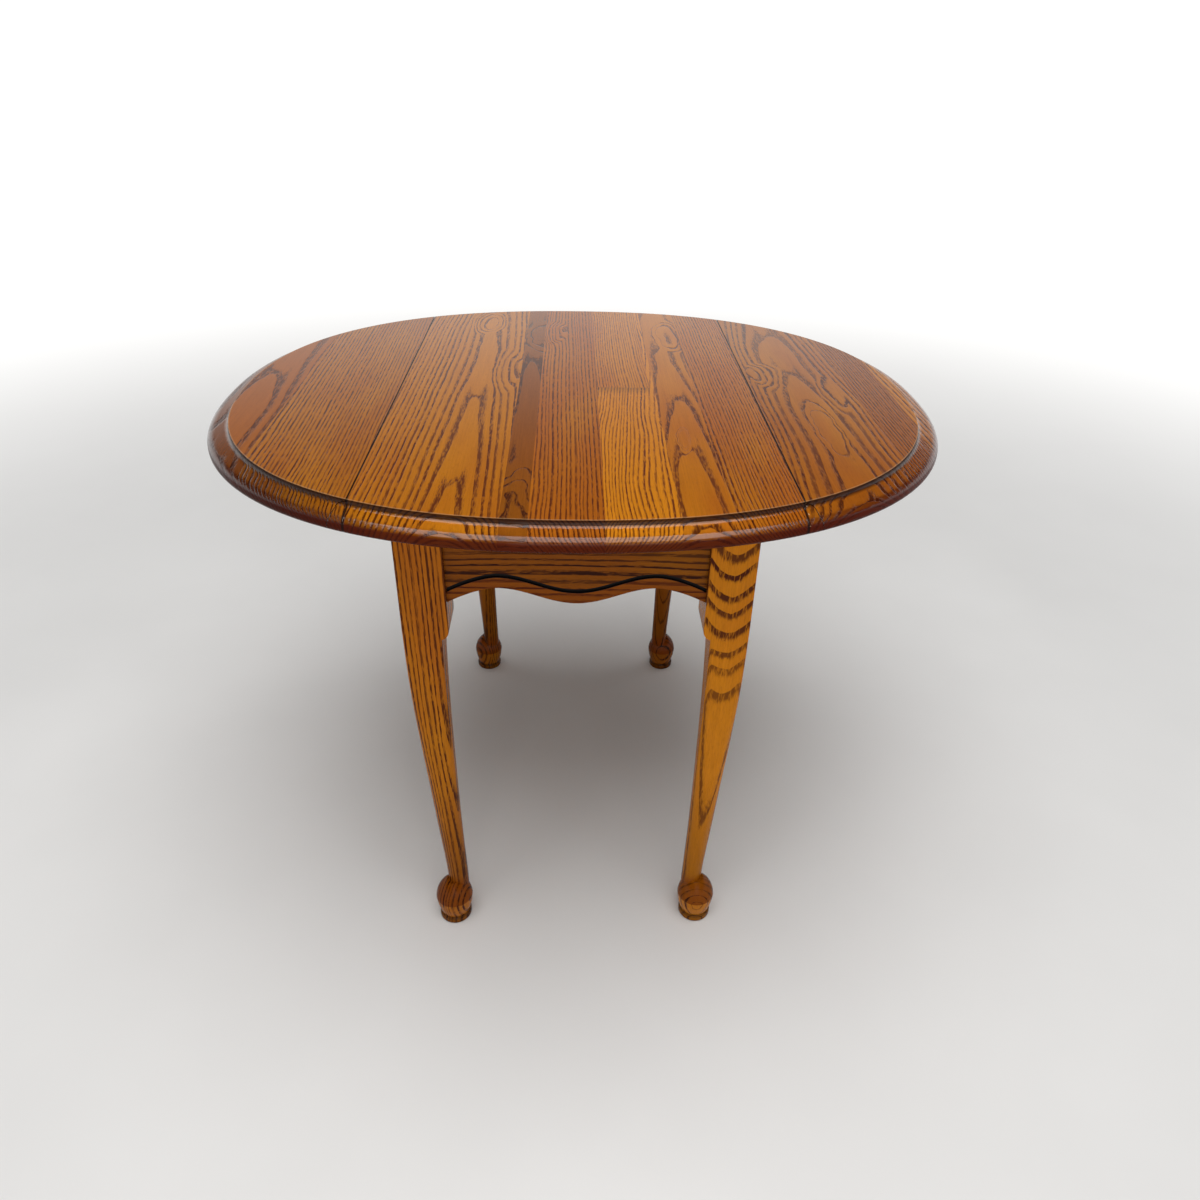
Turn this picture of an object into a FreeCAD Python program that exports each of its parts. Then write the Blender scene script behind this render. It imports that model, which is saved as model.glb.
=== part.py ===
import FreeCAD, Part
import math
import os

from FreeCAD import Vector

# Drop leaf end table, open position.  Units are millimetres.
# X runs left to right across the leaves, -Y is the front, +Z is up,
# and the origin is on the floor under the middle of the top.

# ---------------------------------------------------------------- top
TABLE_HEIGHT = 571.5
TOP_THICK = 21.0
UNDERSIDE = TABLE_HEIGHT - TOP_THICK
FLAT_HALF_X = 366.0          # half axes of the flat area inside the moulding
FLAT_HALF_Y = 323.2
OVAL_POWER = 2.285           # 2 would be an ellipse, more is squarer
OVAL_POINTS = 72

# edge moulding: small step, cove, sloping ledge, then a roll
STEP_DROP = 1.4
COVE_R = 5.0
LEDGE_RUN = 8.4
LEDGE_DROP = 0.8
ROLL_R = 9.0
ROLL_LOW_R = TOP_THICK - STEP_DROP - COVE_R - LEDGE_DROP - ROLL_R
MOULD_OUT = COVE_R + LEDGE_RUN + ROLL_R

# rule joint between the fixed panel and each leaf
HINGE_X = 196.0
FILLET = 3.0
RULE_R = 14.5
RULE_GAP = 0.6
PIN_Z = TABLE_HEIGHT - FILLET - RULE_R

# ---------------------------------------------------------------- legs
POST = 44.4                  # square of the leg's upper block
POST_X = 143.5               # centre of each leg
POST_Y = 252.7
SHOULDER_TOP = 428.0         # where the block's inner faces start to curve in
SHOULDER_END = 417.0
SHOULDER_IN = 7.2
SHOULDER_STEPS = 5
POST_EASE = 1.5              # rounding of the block's upright corners
# height, inner face, outer face (from the leg's centre, outward positive),
# then corner radii at the outer corner, the two side corners and the inner one
LEG_SECTIONS = (
    (417.0, -15.0, 22.2, 2.0, 2.0, 5.0),
    (385.0, -14.2, 22.1, 3.5, 4.0, 8.0),
    (345.0, -13.7, 21.5, 6.0, 6.5, 10.0),
    (300.0, -13.6, 19.9, 8.5, 9.0, 11.5),
    (240.0, -13.8, 17.0, 10.5, 11.0, 12.5),
    (180.0, -14.2, 13.9, 12.2, 12.4, 13.0),
    (120.0, -14.9, 10.5, 12.4, 12.4, 12.5),
    (80.0, -15.6, 8.1, 11.7, 11.7, 11.7),
    (48.0, -16.2, 7.6, 11.8, 11.8, 11.8),
)
FOOT_SHIFT = 1.5             # the foot's axis sits outward of the leg's centre
PAD_FLAT_R = 17.2
PAD_R = 18.7
PAD_TOP = 7.0
PAD_EDGE_R = 18.3            # a point on the pad's rounded lower edge
PAD_EDGE_Z = 1.1
NOTCH_R = 17.0
NOTCH_Z = 9.5
RIM_R = 21.6
RIM_Z = 33.0
WALL_BULGE = 0.8             # how far the wall below the rim swells past straight
DOME_R = 16.85               # a point on the domed top
DOME_Z = 48.0
FOOT_TOP_R = 8.0
FOOT_TOP_Z = 58.0

# ---------------------------------------------------------------- aprons
APRON_THICK = 19.0
APRON_BACK = 7.0             # set back from the legs' outer faces
APRON_CORNER_Z = 456.0
ARCH_Z = 471.6
DROP_Z = 454.8
ARCH_X = 75.0
END_CURVE_POWER = 1.6
EDGE_POINTS = 41             # points along the shaped edge
SLOPE_STEP = 0.5             # half the run over which the edge's slope is taken
GROOVE_RISE = 13.2           # painted groove, above the shaped edge
GROOVE_WIDE = 3.4
GROOVE_DEEP = 2.0
TENON_LONG = 20.0
TENON_THICK = 9.5
TENON_LOW_Z = 472.0
TENON_TOP_Z = 538.0

FRONT_FACE_Y = POST_Y + POST / 2 - APRON_BACK
SIDE_FACE_X = POST_X + POST / 2 - APRON_BACK
POST_INNER_X = POST_X - POST / 2
POST_INNER_Y = POST_Y - POST / 2
APRON_INNER_X = SIDE_FACE_X - APRON_THICK
APRON_INNER_Y = FRONT_FACE_Y - APRON_THICK

# ---------------------------------------------------------------- corner blocks
BLOCK_THICK = 22.0
BLOCK_LOW_Z = 474.0
BLOCK_TOP_Z = 542.0
BLOCK_FLAT = 5.0             # width of the flat planed on the leg's inner corner
BOLT_Z = (BLOCK_LOW_Z + BLOCK_TOP_Z) / 2
BOLT_R = 3.0
BOLT_IN_LEG = 24.0
WASHER_R = 8.0
WASHER_THICK = 1.5
NUT_FLATS = 10.0
NUT_THICK = 5.0
BOLT_SPARE = 3.0
BLOCK_SCREW_R = 2.2
BLOCK_SCREW_HEAD_R = 4.2
BLOCK_SCREW_HEAD = 2.5
BLOCK_SCREW_SEAT = 11.0      # head seat above the apron's inner face
BLOCK_SCREW_BITE = 11.0
BLOCK_SCREW_FROM_END = 16.0
BLOCK_SCREW_OFFSET = 18.0    # one screw below the hanger bolt, the other above it
BLOCK_WELL_SPARE = 0.6       # room around the head in the sunk well
BLOCK_WELL_LONG = 40.0

# ---------------------------------------------------------------- top buttons
BUTTON_LONG = 38.0
BUTTON_WIDE = 25.0
BUTTON_HIGH = 18.0
TONGUE_LONG = 7.0
TONGUE_THICK = 6.0
SLOT_LOW_Z = UNDERSIDE - 16.0
SLOT_SPARE = 1.0
SIDE_BUTTON_Y = 105.0
BUTTON_SCREW_R = 2.2
BUTTON_SCREW_HEAD_R = 4.4
BUTTON_SCREW_HEAD = 2.2
BUTTON_SCREW_BITE = 13.0

# ---------------------------------------------------------------- hinges
HINGE_Y = 190.0
HINGE_WIDE = 36.0
KNUCKLE_R = 3.2
PIN_R = 1.5
PIN_PLAY = 0.05
PLATE_THICK = 2.0
FIXED_PLATE_IN = 38.0        # reach of the fixed plate from the pin
LEAF_PLATE_OUT = 60.0
PLATE_START = 4.2            # plates stop short of the knuckles by this much
MIDDLE_KNUCKLE = 11.7
KNUCKLE_GAP = 0.3
GROOVE_HALF = 4.8            # half width of the groove that houses the knuckles
GROOVE_TOP = 4.0             # groove above the pin
MORTISE_SPARE = 0.3
HINGE_SCREW_R = 1.6
HINGE_SCREW_HEAD_R = 3.2
HINGE_SCREW_LONG = 14.0
HINGE_SCREW_Y = 10.0         # screws of a pair lie this far from the plate's middle
LEAF_SCREW_PAIR = 26.0       # the leaf plate's pair and its third screw, from the pin
LEAF_SCREW_LAST = 51.0
DRIVE_SLOT_WIDE = 0.8
DRIVE_SLOT_DEEP = 0.7

# ---------------------------------------------------------------- folding stays
STAY_FIXED_X = HINGE_X - 28.0
STAY_LEAF_DROP = 12.5        # leaf pivot below the hinge pin
STAY_LEAF_OUT = 72.0         # leaf pivot outward of the hinge pin
STAY_FIXED_DROP = STAY_LEAF_OUT
ARM_HALF = 5.0
ARM_THICK = 2.5
ARM_SPLIT = 0.2              # half the slit between the two arms
RIVET_R = 2.0
RIVET_PLAY = 0.05
RIVET_HEAD_R = 3.8
RIVET_HEAD = 1.4
EAR_HALF = 6.0
BRACKET_THICK = 2.0
BRACKET_HALF_LONG = 17.0
STAY_SCREW_FROM_END = 5.5
BRACKET_WIDE = 20.0
STAY_SCREW_R = 1.7
STAY_SCREW_HEAD_R = 3.4
STAY_SCREW_HEAD = 1.5
STAY_SCREW_BITE = 12.0

EXTRA = 5.0                  # how far cutters run past the faces they cut
PASS = 1.0                   # the same for holes between closely spaced plates
SEW_TOLERANCE = 0.001


def box(x0, x1, y0, y1, z0, z1):
    return Part.makeBox(x1 - x0, y1 - y0, z1 - z0, Vector(x0, y0, z0))


def rod(radius, start, axis, length):
    return Part.makeCylinder(radius, length, start, axis)


def mirror_x(shape):
    return shape.mirror(Vector(0, 0, 0), Vector(1, 0, 0))


def mirror_y(shape):
    return shape.mirror(Vector(0, 0, 0), Vector(0, 1, 0))


def fuse_all(shapes):
    whole = shapes[0]
    for piece in shapes[1:]:
        whole = whole.fuse(piece)
    return whole.removeSplitter()


def cut_all(shape, tools):
    return shape.cut(Part.makeCompound(tools)) if tools else shape


def prism(points, vector):
    """Straight-sided solid: closed outline through the points, pushed along the vector."""
    return Part.Face(Part.makePolygon(points + [points[0]])).extrude(vector)


# ---------------------------------------------------------------- top
def oval_point(angle, offset, z):
    """Point of the flat area's outline moved outward by the offset."""
    c = math.cos(angle)
    s = math.sin(angle)
    x = FLAT_HALF_X * math.copysign(abs(c) ** (2 / OVAL_POWER), c)
    y = FLAT_HALF_Y * math.copysign(abs(s) ** (2 / OVAL_POWER), s)
    nx = math.copysign((abs(x) / FLAT_HALF_X) ** (OVAL_POWER - 1) / FLAT_HALF_X, x)
    ny = math.copysign((abs(y) / FLAT_HALF_Y) ** (OVAL_POWER - 1) / FLAT_HALF_Y, y)
    length = math.hypot(nx, ny)
    return Vector(x + offset * nx / length, y + offset * ny / length, z)


def oval_wire(offset, z):
    points = [
        oval_point(2 * math.pi * (i + 0.5) / OVAL_POINTS, offset, z)
        for i in range(OVAL_POINTS)
    ]
    curve = Part.BSplineCurve()
    curve.interpolate(Points=points, PeriodicFlag=True)
    return Part.Wire(curve.toShape())


def quarter(centre, radius, start, end, plane_x, plane_z):
    """Arc in the upright plane spanned by plane_x and plane_z, angles in degrees."""
    def at(angle):
        a = math.radians(angle)
        return centre + plane_x * (radius * math.cos(a)) + plane_z * (radius * math.sin(a))
    return Part.Arc(at(start), at((start + end) / 2), at(end)).toShape()


def moulding_section():
    """Section of the rim at the middle of the +X end, from the flat to the underside."""
    out = Vector(1, 0, 0)
    up = Vector(0, 0, 1)

    def at(run, drop):
        return Vector(FLAT_HALF_X + run, 0, TABLE_HEIGHT - drop)

    ledge_start = at(COVE_R, STEP_DROP + COVE_R)
    ledge_end = at(COVE_R + LEDGE_RUN, STEP_DROP + COVE_R + LEDGE_DROP)
    roll_centre = ledge_end - up * ROLL_R
    low_centre = roll_centre + out * (ROLL_R - ROLL_LOW_R)
    edges = [
        Part.makeLine(at(0, 0), at(0, STEP_DROP)),
        quarter(at(COVE_R, STEP_DROP), COVE_R, 180, 270, out, up),
        Part.makeLine(ledge_start, ledge_end),
        quarter(roll_centre, ROLL_R, 90, 0, out, up),
        quarter(low_centre, ROLL_LOW_R, 0, -90, out, up),
    ]
    return Part.Wire(edges)


def oval_board():
    """The whole top before it is divided into a fixed panel and two leaves."""
    sweep = Part.BRepOffsetAPI.MakePipeShell(oval_wire(0, TABLE_HEIGHT))
    sweep.setBiNormalMode(Vector(0, 0, 1))
    sweep.add(moulding_section(), True, False)
    sweep.build()
    rim = sweep.shape()
    caps = []
    for z in (TABLE_HEIGHT, UNDERSIDE):
        border = [e for e in rim.Edges
                  if abs(e.BoundBox.ZMin - z) < 0.01 and abs(e.BoundBox.ZMax - z) < 0.01]
        caps.append(Part.Face(Part.Wire(border)))
    skin = Part.Compound(rim.Faces + caps)
    skin.sewShape(SEW_TOLERANCE)
    return Part.Solid(skin.Shells[0])


def rule_region(gap, far):
    """Everything on the table's side of the right-hand rule joint surface.

    The convex quarter round has its centre on the hinge pin."""
    centre = Vector(HINGE_X, 0, PIN_Z)
    radius = RULE_R + gap
    high = TABLE_HEIGHT + EXTRA
    low = UNDERSIDE - EXTRA
    rise = math.sqrt(radius ** 2 - gap ** 2)
    lean = math.degrees(math.acos(gap / radius))
    start = Vector(HINGE_X + gap, 0, PIN_Z + rise)
    end = Vector(HINGE_X + radius, 0, PIN_Z)
    edges = [
        Part.makeLine(Vector(-far, 0, high), Vector(HINGE_X + gap, 0, high)),
        Part.makeLine(Vector(HINGE_X + gap, 0, high), start),
        quarter(centre, radius, lean, 0, Vector(1, 0, 0), Vector(0, 0, 1)),
        Part.makeLine(end, Vector(HINGE_X + radius, 0, low)),
        Part.makeLine(Vector(HINGE_X + radius, 0, low), Vector(-far, 0, low)),
        Part.makeLine(Vector(-far, 0, low), Vector(-far, 0, high)),
    ]
    length = 2 * (FLAT_HALF_Y + MOULD_OUT + EXTRA)
    face = Part.Face(Part.Wire(edges))
    face.translate(Vector(0, -length / 2, 0))
    return face.extrude(Vector(0, length, 0))


# ---------------------------------------------------------------- legs
def leg_section(z, low, high, r_outer, r_side, r_inner):
    """Square section with four corner radii, in the leg's own outward axes."""
    corners = (
        (high, high, r_outer, 0),
        (low, high, r_side, 90),
        (low, low, r_inner, 180),
        (high, low, r_side, 270),
    )
    arcs = []
    for x, y, radius, turn in corners:
        centre = Vector(
            x - math.copysign(radius, x - (low + high) / 2),
            y - math.copysign(radius, y - (low + high) / 2),
            z,
        )
        arcs.append(
            quarter(centre, radius, turn, turn + 90, Vector(1, 0, 0), Vector(0, 1, 0))
        )
    edges = []
    for i, arc in enumerate(arcs):
        following = arcs[(i + 1) % 4]
        edges.append(arc)
        edges.append(Part.makeLine(arc.Vertexes[-1].Point, following.Vertexes[0].Point))
    return Part.Wire(edges)


def leg_shaft():
    return Part.makeLoft([leg_section(*row) for row in LEG_SECTIONS], True)


def leg_shoulder():
    """The block's two inner faces curve in to the slimmer shaft."""
    rows = []
    for i in range(SHOULDER_STEPS):
        grow = i / (SHOULDER_STEPS - 1)
        angle = math.pi / 2 * grow
        z = SHOULDER_TOP - (SHOULDER_TOP - SHOULDER_END) * math.sin(angle)
        inner = -POST / 2 + SHOULDER_IN * (1 - math.cos(angle))
        radii = [POST_EASE + grow * (radius - POST_EASE) for radius in LEG_SECTIONS[0][3:]]
        rows.append(leg_section(z, inner, POST / 2, *radii))
    return Part.makeLoft(rows, True)


def leg_block():
    half = POST / 2
    wire = leg_section(SHOULDER_TOP, -half, half, POST_EASE, POST_EASE, POST_EASE)
    return Part.Face(wire).extrude(Vector(0, 0, UNDERSIDE - SHOULDER_TOP))


def leg_foot():
    """Turned foot: a pad, a tapering wall up to the rim, and a domed top."""
    def at(radius, z):
        return Vector(radius, 0, z)

    dome = Part.Arc(
        at(RIM_R, RIM_Z),
        at(DOME_R, DOME_Z),
        at(FOOT_TOP_R, FOOT_TOP_Z),
    ).toShape()
    wall = Part.Arc(
        at(NOTCH_R, NOTCH_Z),
        at((NOTCH_R + RIM_R) / 2 + WALL_BULGE, (NOTCH_Z + RIM_Z) / 2),
        at(RIM_R, RIM_Z),
    ).toShape()
    pad_edge = Part.Arc(
        at(PAD_FLAT_R, 0),
        at(PAD_EDGE_R, PAD_EDGE_Z),
        at(PAD_R, PAD_TOP / 2),
    ).toShape()
    edges = [
        Part.makeLine(at(0, 0), at(PAD_FLAT_R, 0)),
        pad_edge,
        Part.makeLine(at(PAD_R, PAD_TOP / 2), at(PAD_R, PAD_TOP)),
        Part.makeLine(at(PAD_R, PAD_TOP), at(NOTCH_R, NOTCH_Z)),
        wall,
        dome,
        Part.makeLine(at(FOOT_TOP_R, FOOT_TOP_Z), at(0, FOOT_TOP_Z)),
        Part.makeLine(at(0, FOOT_TOP_Z), at(0, 0)),
    ]
    foot = Part.Face(Part.Wire(edges)).revolve(Vector(0, 0, 0), Vector(0, 0, 1), 360)
    foot.translate(Vector(FOOT_SHIFT, FOOT_SHIFT, 0))
    return foot


def leg():
    """Rear right leg.  The other three are its mirror images."""
    whole = fuse_all([leg_block(), leg_shoulder(), leg_shaft(), leg_foot()])
    whole.translate(Vector(POST_X, POST_Y, 0))
    return cut_all(whole, tenons() + [corner_flat(), bolt_hole()])


def tenons():
    """The two tenons that meet the rear right leg, used to cut its mortises too."""
    front_mid = FRONT_FACE_Y - APRON_THICK / 2
    side_mid = SIDE_FACE_X - APRON_THICK / 2
    half = TENON_THICK / 2
    return [
        box(POST_INNER_X, POST_INNER_X + TENON_LONG,
            front_mid - half, front_mid + half, TENON_LOW_Z, TENON_TOP_Z),
        box(side_mid - half, side_mid + half,
            POST_INNER_Y, POST_INNER_Y + TENON_LONG, TENON_LOW_Z, TENON_TOP_Z),
    ]


# ---------------------------------------------------------------- aprons
def edge_height(x):
    """Height of the shaped lower edge: a drop in the middle between two arches."""
    run = abs(x)
    if run <= ARCH_X:
        return DROP_Z + (ARCH_Z - DROP_Z) * (1 - math.cos(math.pi * run / ARCH_X)) / 2
    part = (run - ARCH_X) / (POST_INNER_X - ARCH_X)
    return ARCH_Z - (ARCH_Z - APRON_CORNER_Z) * part ** END_CURVE_POWER


def edge_curve(half_x, rise, side, y):
    """Smooth curve along the shaped edge, moved up by rise and sideways by side."""
    points = []
    for i in range(EDGE_POINTS):
        x = half_x * (2 * i / (EDGE_POINTS - 1) - 1)
        climb = edge_height(x + SLOPE_STEP) - edge_height(x - SLOPE_STEP)
        slope = climb / (2 * SLOPE_STEP)
        length = math.hypot(1, slope)
        points.append(
            Vector(x - side * slope / length, y, edge_height(x) + rise + side / length)
        )
    curve = Part.BSplineCurve()
    curve.interpolate(Points=points)
    return curve.toShape()


def shaped_board():
    """Rear apron between the legs, without tenons."""
    y = APRON_INNER_Y
    bottom = edge_curve(POST_INNER_X, 0, 0, y)
    left = bottom.Vertexes[0].Point
    right = bottom.Vertexes[-1].Point
    top_left = Vector(left.x, y, UNDERSIDE)
    top_right = Vector(right.x, y, UNDERSIDE)
    wire = Part.Wire([
        bottom,
        Part.makeLine(right, top_right),
        Part.makeLine(top_right, top_left),
        Part.makeLine(top_left, left),
    ])
    return Part.Face(wire).extrude(Vector(0, APRON_THICK, 0))


def edge_groove():
    """Shallow groove routed in the outer face, following the shaped edge."""
    y = FRONT_FACE_Y - GROOVE_DEEP
    reach = POST_INNER_X + EXTRA
    low = edge_curve(reach, GROOVE_RISE, -GROOVE_WIDE / 2, y)
    high = edge_curve(reach, GROOVE_RISE, GROOVE_WIDE / 2, y)
    right_end = Part.makeLine(low.Vertexes[-1].Point, high.Vertexes[-1].Point)
    left_end = Part.makeLine(high.Vertexes[0].Point, low.Vertexes[0].Point)
    face = Part.Face(Part.Wire([low, right_end, high, left_end]))
    return face.extrude(Vector(0, GROOVE_DEEP + EXTRA, 0))


def end_apron():
    """Rear apron: shaped edge, groove, and a tenon at each end."""
    tenon = tenons()[0]
    whole = fuse_all([shaped_board(), tenon, mirror_x(tenon)])
    tools = [edge_groove(), slot_in_end_apron()]
    tools += [block_screw_holes()[0], mirror_x(block_screw_holes()[0])]
    return cut_all(whole, tools)


def side_apron():
    """Right apron: plain straight board with a tenon at each end."""
    tenon = tenons()[1]
    board = box(APRON_INNER_X, SIDE_FACE_X, -POST_INNER_Y, POST_INNER_Y,
                APRON_CORNER_Z, UNDERSIDE)
    whole = fuse_all([board, tenon, mirror_y(tenon)])
    tools = slots_in_side_apron()
    tools += [block_screw_holes()[1], mirror_y(block_screw_holes()[1])]
    tools += stay_apron_screw_tools()
    return cut_all(whole, tools)


# ---------------------------------------------------------------- corner blocks
DIAGONAL = Vector(1, 1, 0).normalize()
CORNER = Vector(POST_INNER_X, POST_INNER_Y, 0)
SEAT = CORNER + DIAGONAL * (BLOCK_FLAT / 2)      # block's outer face meets the leg here


def corner_flat():
    """Material planed off the leg's inner corner where the block bears."""
    across = Vector(1, -1, 0).normalize() * (BLOCK_FLAT * 2)
    base = SEAT + Vector(0, 0, BLOCK_LOW_Z)
    back = base - DIAGONAL * (BLOCK_FLAT * 2)
    outline = [base + across, base - across, back - across, back + across]
    return prism(outline, Vector(0, 0, BLOCK_TOP_Z - BLOCK_LOW_Z))


def block_outline():
    outer_sum = SEAT.x + SEAT.y
    inner_sum = outer_sum - BLOCK_THICK * math.sqrt(2)
    z = BLOCK_LOW_Z
    return [
        Vector(outer_sum - APRON_INNER_Y, APRON_INNER_Y, z),
        Vector(inner_sum - APRON_INNER_Y, APRON_INNER_Y, z),
        Vector(APRON_INNER_X, inner_sum - APRON_INNER_X, z),
        Vector(APRON_INNER_X, outer_sum - APRON_INNER_X, z),
    ]


def block_screw_positions():
    """Where the two block screws meet the aprons' inner faces, and their directions."""
    outline = block_outline()
    x = outline[1].x + BLOCK_SCREW_FROM_END
    y = outline[2].y + BLOCK_SCREW_FROM_END
    return (
        (Vector(x, APRON_INNER_Y, BOLT_Z - BLOCK_SCREW_OFFSET), Vector(0, 1, 0)),
        (Vector(APRON_INNER_X, y, BOLT_Z + BLOCK_SCREW_OFFSET), Vector(1, 0, 0)),
    )


def block_screw_holes():
    """Pilot hole and sunk well of each block screw: one in the end apron, one in the side."""
    holes = []
    for point, way in block_screw_positions():
        seat = point - way * BLOCK_SCREW_SEAT
        shank = rod(BLOCK_SCREW_R, seat, way, BLOCK_SCREW_SEAT + BLOCK_SCREW_BITE)
        well = rod(BLOCK_SCREW_HEAD_R + BLOCK_WELL_SPARE, seat, way * -1, BLOCK_WELL_LONG)
        holes.append(shank.fuse(well))
    return holes


def corner_block():
    body = prism(block_outline(), Vector(0, 0, BLOCK_TOP_Z - BLOCK_LOW_Z))
    return cut_all(body, block_screw_holes() + [bolt_hole()])


def block_screws():
    screws = []
    for point, way in block_screw_positions():
        seat = point - way * BLOCK_SCREW_SEAT
        shank = rod(BLOCK_SCREW_R, seat, way, BLOCK_SCREW_SEAT + BLOCK_SCREW_BITE)
        head = rod(BLOCK_SCREW_HEAD_R, seat - way * BLOCK_SCREW_HEAD, way, BLOCK_SCREW_HEAD)
        screws.append(head.fuse(shank).removeSplitter())
    return screws


def bolt_start():
    return SEAT - DIAGONAL * BLOCK_THICK + Vector(0, 0, BOLT_Z)


def bolt_hole():
    return rod(BOLT_R, bolt_start() - DIAGONAL * EXTRA, DIAGONAL,
               EXTRA + BLOCK_THICK + BOLT_IN_LEG)


def hanger_bolt():
    outside = WASHER_THICK + NUT_THICK + BOLT_SPARE
    return rod(BOLT_R, bolt_start() - DIAGONAL * outside, DIAGONAL,
               outside + BLOCK_THICK + BOLT_IN_LEG)


def bolt_washer():
    ring = rod(WASHER_R, bolt_start() - DIAGONAL * WASHER_THICK, DIAGONAL, WASHER_THICK)
    return ring.cut(hanger_bolt())


def bolt_nut():
    radius = NUT_FLATS / math.sqrt(3)
    points = [
        Vector(radius * math.cos(math.pi * i / 3), radius * math.sin(math.pi * i / 3), 0)
        for i in range(6)
    ]
    nut = prism(points, Vector(0, 0, NUT_THICK))
    nut.Placement = FreeCAD.Placement(
        bolt_start() - DIAGONAL * (WASHER_THICK + NUT_THICK),
        FreeCAD.Rotation(Vector(0, 0, 1), DIAGONAL),
    )
    return nut.cut(hanger_bolt())


# ---------------------------------------------------------------- top buttons
def button_slot():
    """Slot for a button's tongue, in the axes of the button itself."""
    half = BUTTON_WIDE / 2 + SLOT_SPARE
    return box(-EXTRA, TONGUE_LONG + SLOT_SPARE, -half, half,
               SLOT_LOW_Z - SLOT_SPARE, SLOT_LOW_Z + TONGUE_THICK)


def button():
    """Wooden button, its tongue along +X from the apron's inner face at x = 0."""
    half = BUTTON_WIDE / 2
    body = box(-(BUTTON_LONG - TONGUE_LONG), 0, -half, half,
               UNDERSIDE - BUTTON_HIGH, UNDERSIDE)
    tongue = box(0, TONGUE_LONG, -half, half, SLOT_LOW_Z, SLOT_LOW_Z + TONGUE_THICK)
    return cut_all(fuse_all([body, tongue]), [button_screw_shank()])


def button_screw_shank():
    middle = -(BUTTON_LONG - TONGUE_LONG) / 2
    return rod(BUTTON_SCREW_R, Vector(middle, 0, UNDERSIDE - BUTTON_HIGH),
               Vector(0, 0, 1), BUTTON_HIGH + BUTTON_SCREW_BITE)


def button_screw():
    middle = -(BUTTON_LONG - TONGUE_LONG) / 2
    head_start = Vector(middle, 0, UNDERSIDE - BUTTON_HIGH - BUTTON_SCREW_HEAD)
    head = rod(BUTTON_SCREW_HEAD_R, head_start, Vector(0, 0, 1), BUTTON_SCREW_HEAD)
    return head.fuse(button_screw_shank()).removeSplitter()


def place_button(shape, x, y, turn):
    """Copy of a button part at an apron's inner face, turned about Z in degrees."""
    copy = shape.copy()
    copy.Placement = FreeCAD.Placement(
        Vector(x, y, 0), FreeCAD.Rotation(Vector(0, 0, 1), turn)
    ).multiply(copy.Placement)
    return copy


BUTTON_PLACES = (
    (0, APRON_INNER_Y, 90),
    (0, -APRON_INNER_Y, -90),
    (APRON_INNER_X, SIDE_BUTTON_Y, 0),
    (APRON_INNER_X, -SIDE_BUTTON_Y, 0),
    (-APRON_INNER_X, SIDE_BUTTON_Y, 180),
    (-APRON_INNER_X, -SIDE_BUTTON_Y, 180),
)


def button_copies(shape):
    return [place_button(shape, *place) for place in BUTTON_PLACES]


def slot_in_end_apron():
    return place_button(button_slot(), *BUTTON_PLACES[0])


def slots_in_side_apron():
    return [place_button(button_slot(), *place) for place in BUTTON_PLACES[2:4]]


# ---------------------------------------------------------------- hinges
def knuckle(y0, y1, bore):
    barrel = rod(KNUCKLE_R, Vector(HINGE_X, y0, PIN_Z), Vector(0, 1, 0), y1 - y0)
    return clear_bore(barrel, bore)


def clear_bore(shape, bore):
    hole = rod(bore, Vector(HINGE_X, -HINGE_WIDE, PIN_Z), Vector(0, 1, 0), 2 * HINGE_WIDE)
    return shape.cut(hole)


def fixed_screw_xy():
    x = HINGE_X - (FIXED_PLATE_IN + PLATE_START) / 2
    return [(x, -HINGE_SCREW_Y), (x, HINGE_SCREW_Y)]


def leaf_screw_xy():
    return [
        (HINGE_X + LEAF_SCREW_PAIR, -HINGE_SCREW_Y),
        (HINGE_X + LEAF_SCREW_PAIR, HINGE_SCREW_Y),
        (HINGE_X + LEAF_SCREW_LAST, 0),
    ]


def countersunk_screw(x, y):
    """Screw driven up from below, its head flush with the plate's lower face."""
    slot = box(x - HINGE_SCREW_HEAD_R, x + HINGE_SCREW_HEAD_R,
               y - DRIVE_SLOT_WIDE / 2, y + DRIVE_SLOT_WIDE / 2,
               UNDERSIDE - PASS, UNDERSIDE + DRIVE_SLOT_DEEP)
    return screw_room(x, y).removeSplitter().cut(slot)


def screw_room(x, y):
    """The space a countersunk screw fills in its plate and in the wood."""
    base = Vector(x, y, UNDERSIDE)
    up = Vector(0, 0, 1)
    cone_high = HINGE_SCREW_HEAD_R - HINGE_SCREW_R
    cone = Part.makeCone(HINGE_SCREW_HEAD_R, HINGE_SCREW_R, cone_high, base, up)
    return cone.fuse(rod(HINGE_SCREW_R, base, up, HINGE_SCREW_LONG))


def hinge_fixed_plate():
    """Short plate under the fixed panel, with the two outer knuckles."""
    half = HINGE_WIDE / 2
    inner = MIDDLE_KNUCKLE / 2 + KNUCKLE_GAP
    z0 = UNDERSIDE
    z1 = z0 + PLATE_THICK
    parts = [box(HINGE_X - FIXED_PLATE_IN, HINGE_X - PLATE_START, -half, half, z0, z1)]
    for y0, y1 in ((-half, -inner), (inner, half)):
        parts.append(box(HINGE_X - PLATE_START, HINGE_X, y0, y1, z0, z1))
        parts.append(knuckle(y0, y1, PIN_R))
    plate = clear_bore(fuse_all(parts), PIN_R)
    return cut_all(plate, [screw_room(x, y) for x, y in fixed_screw_xy()])


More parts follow.
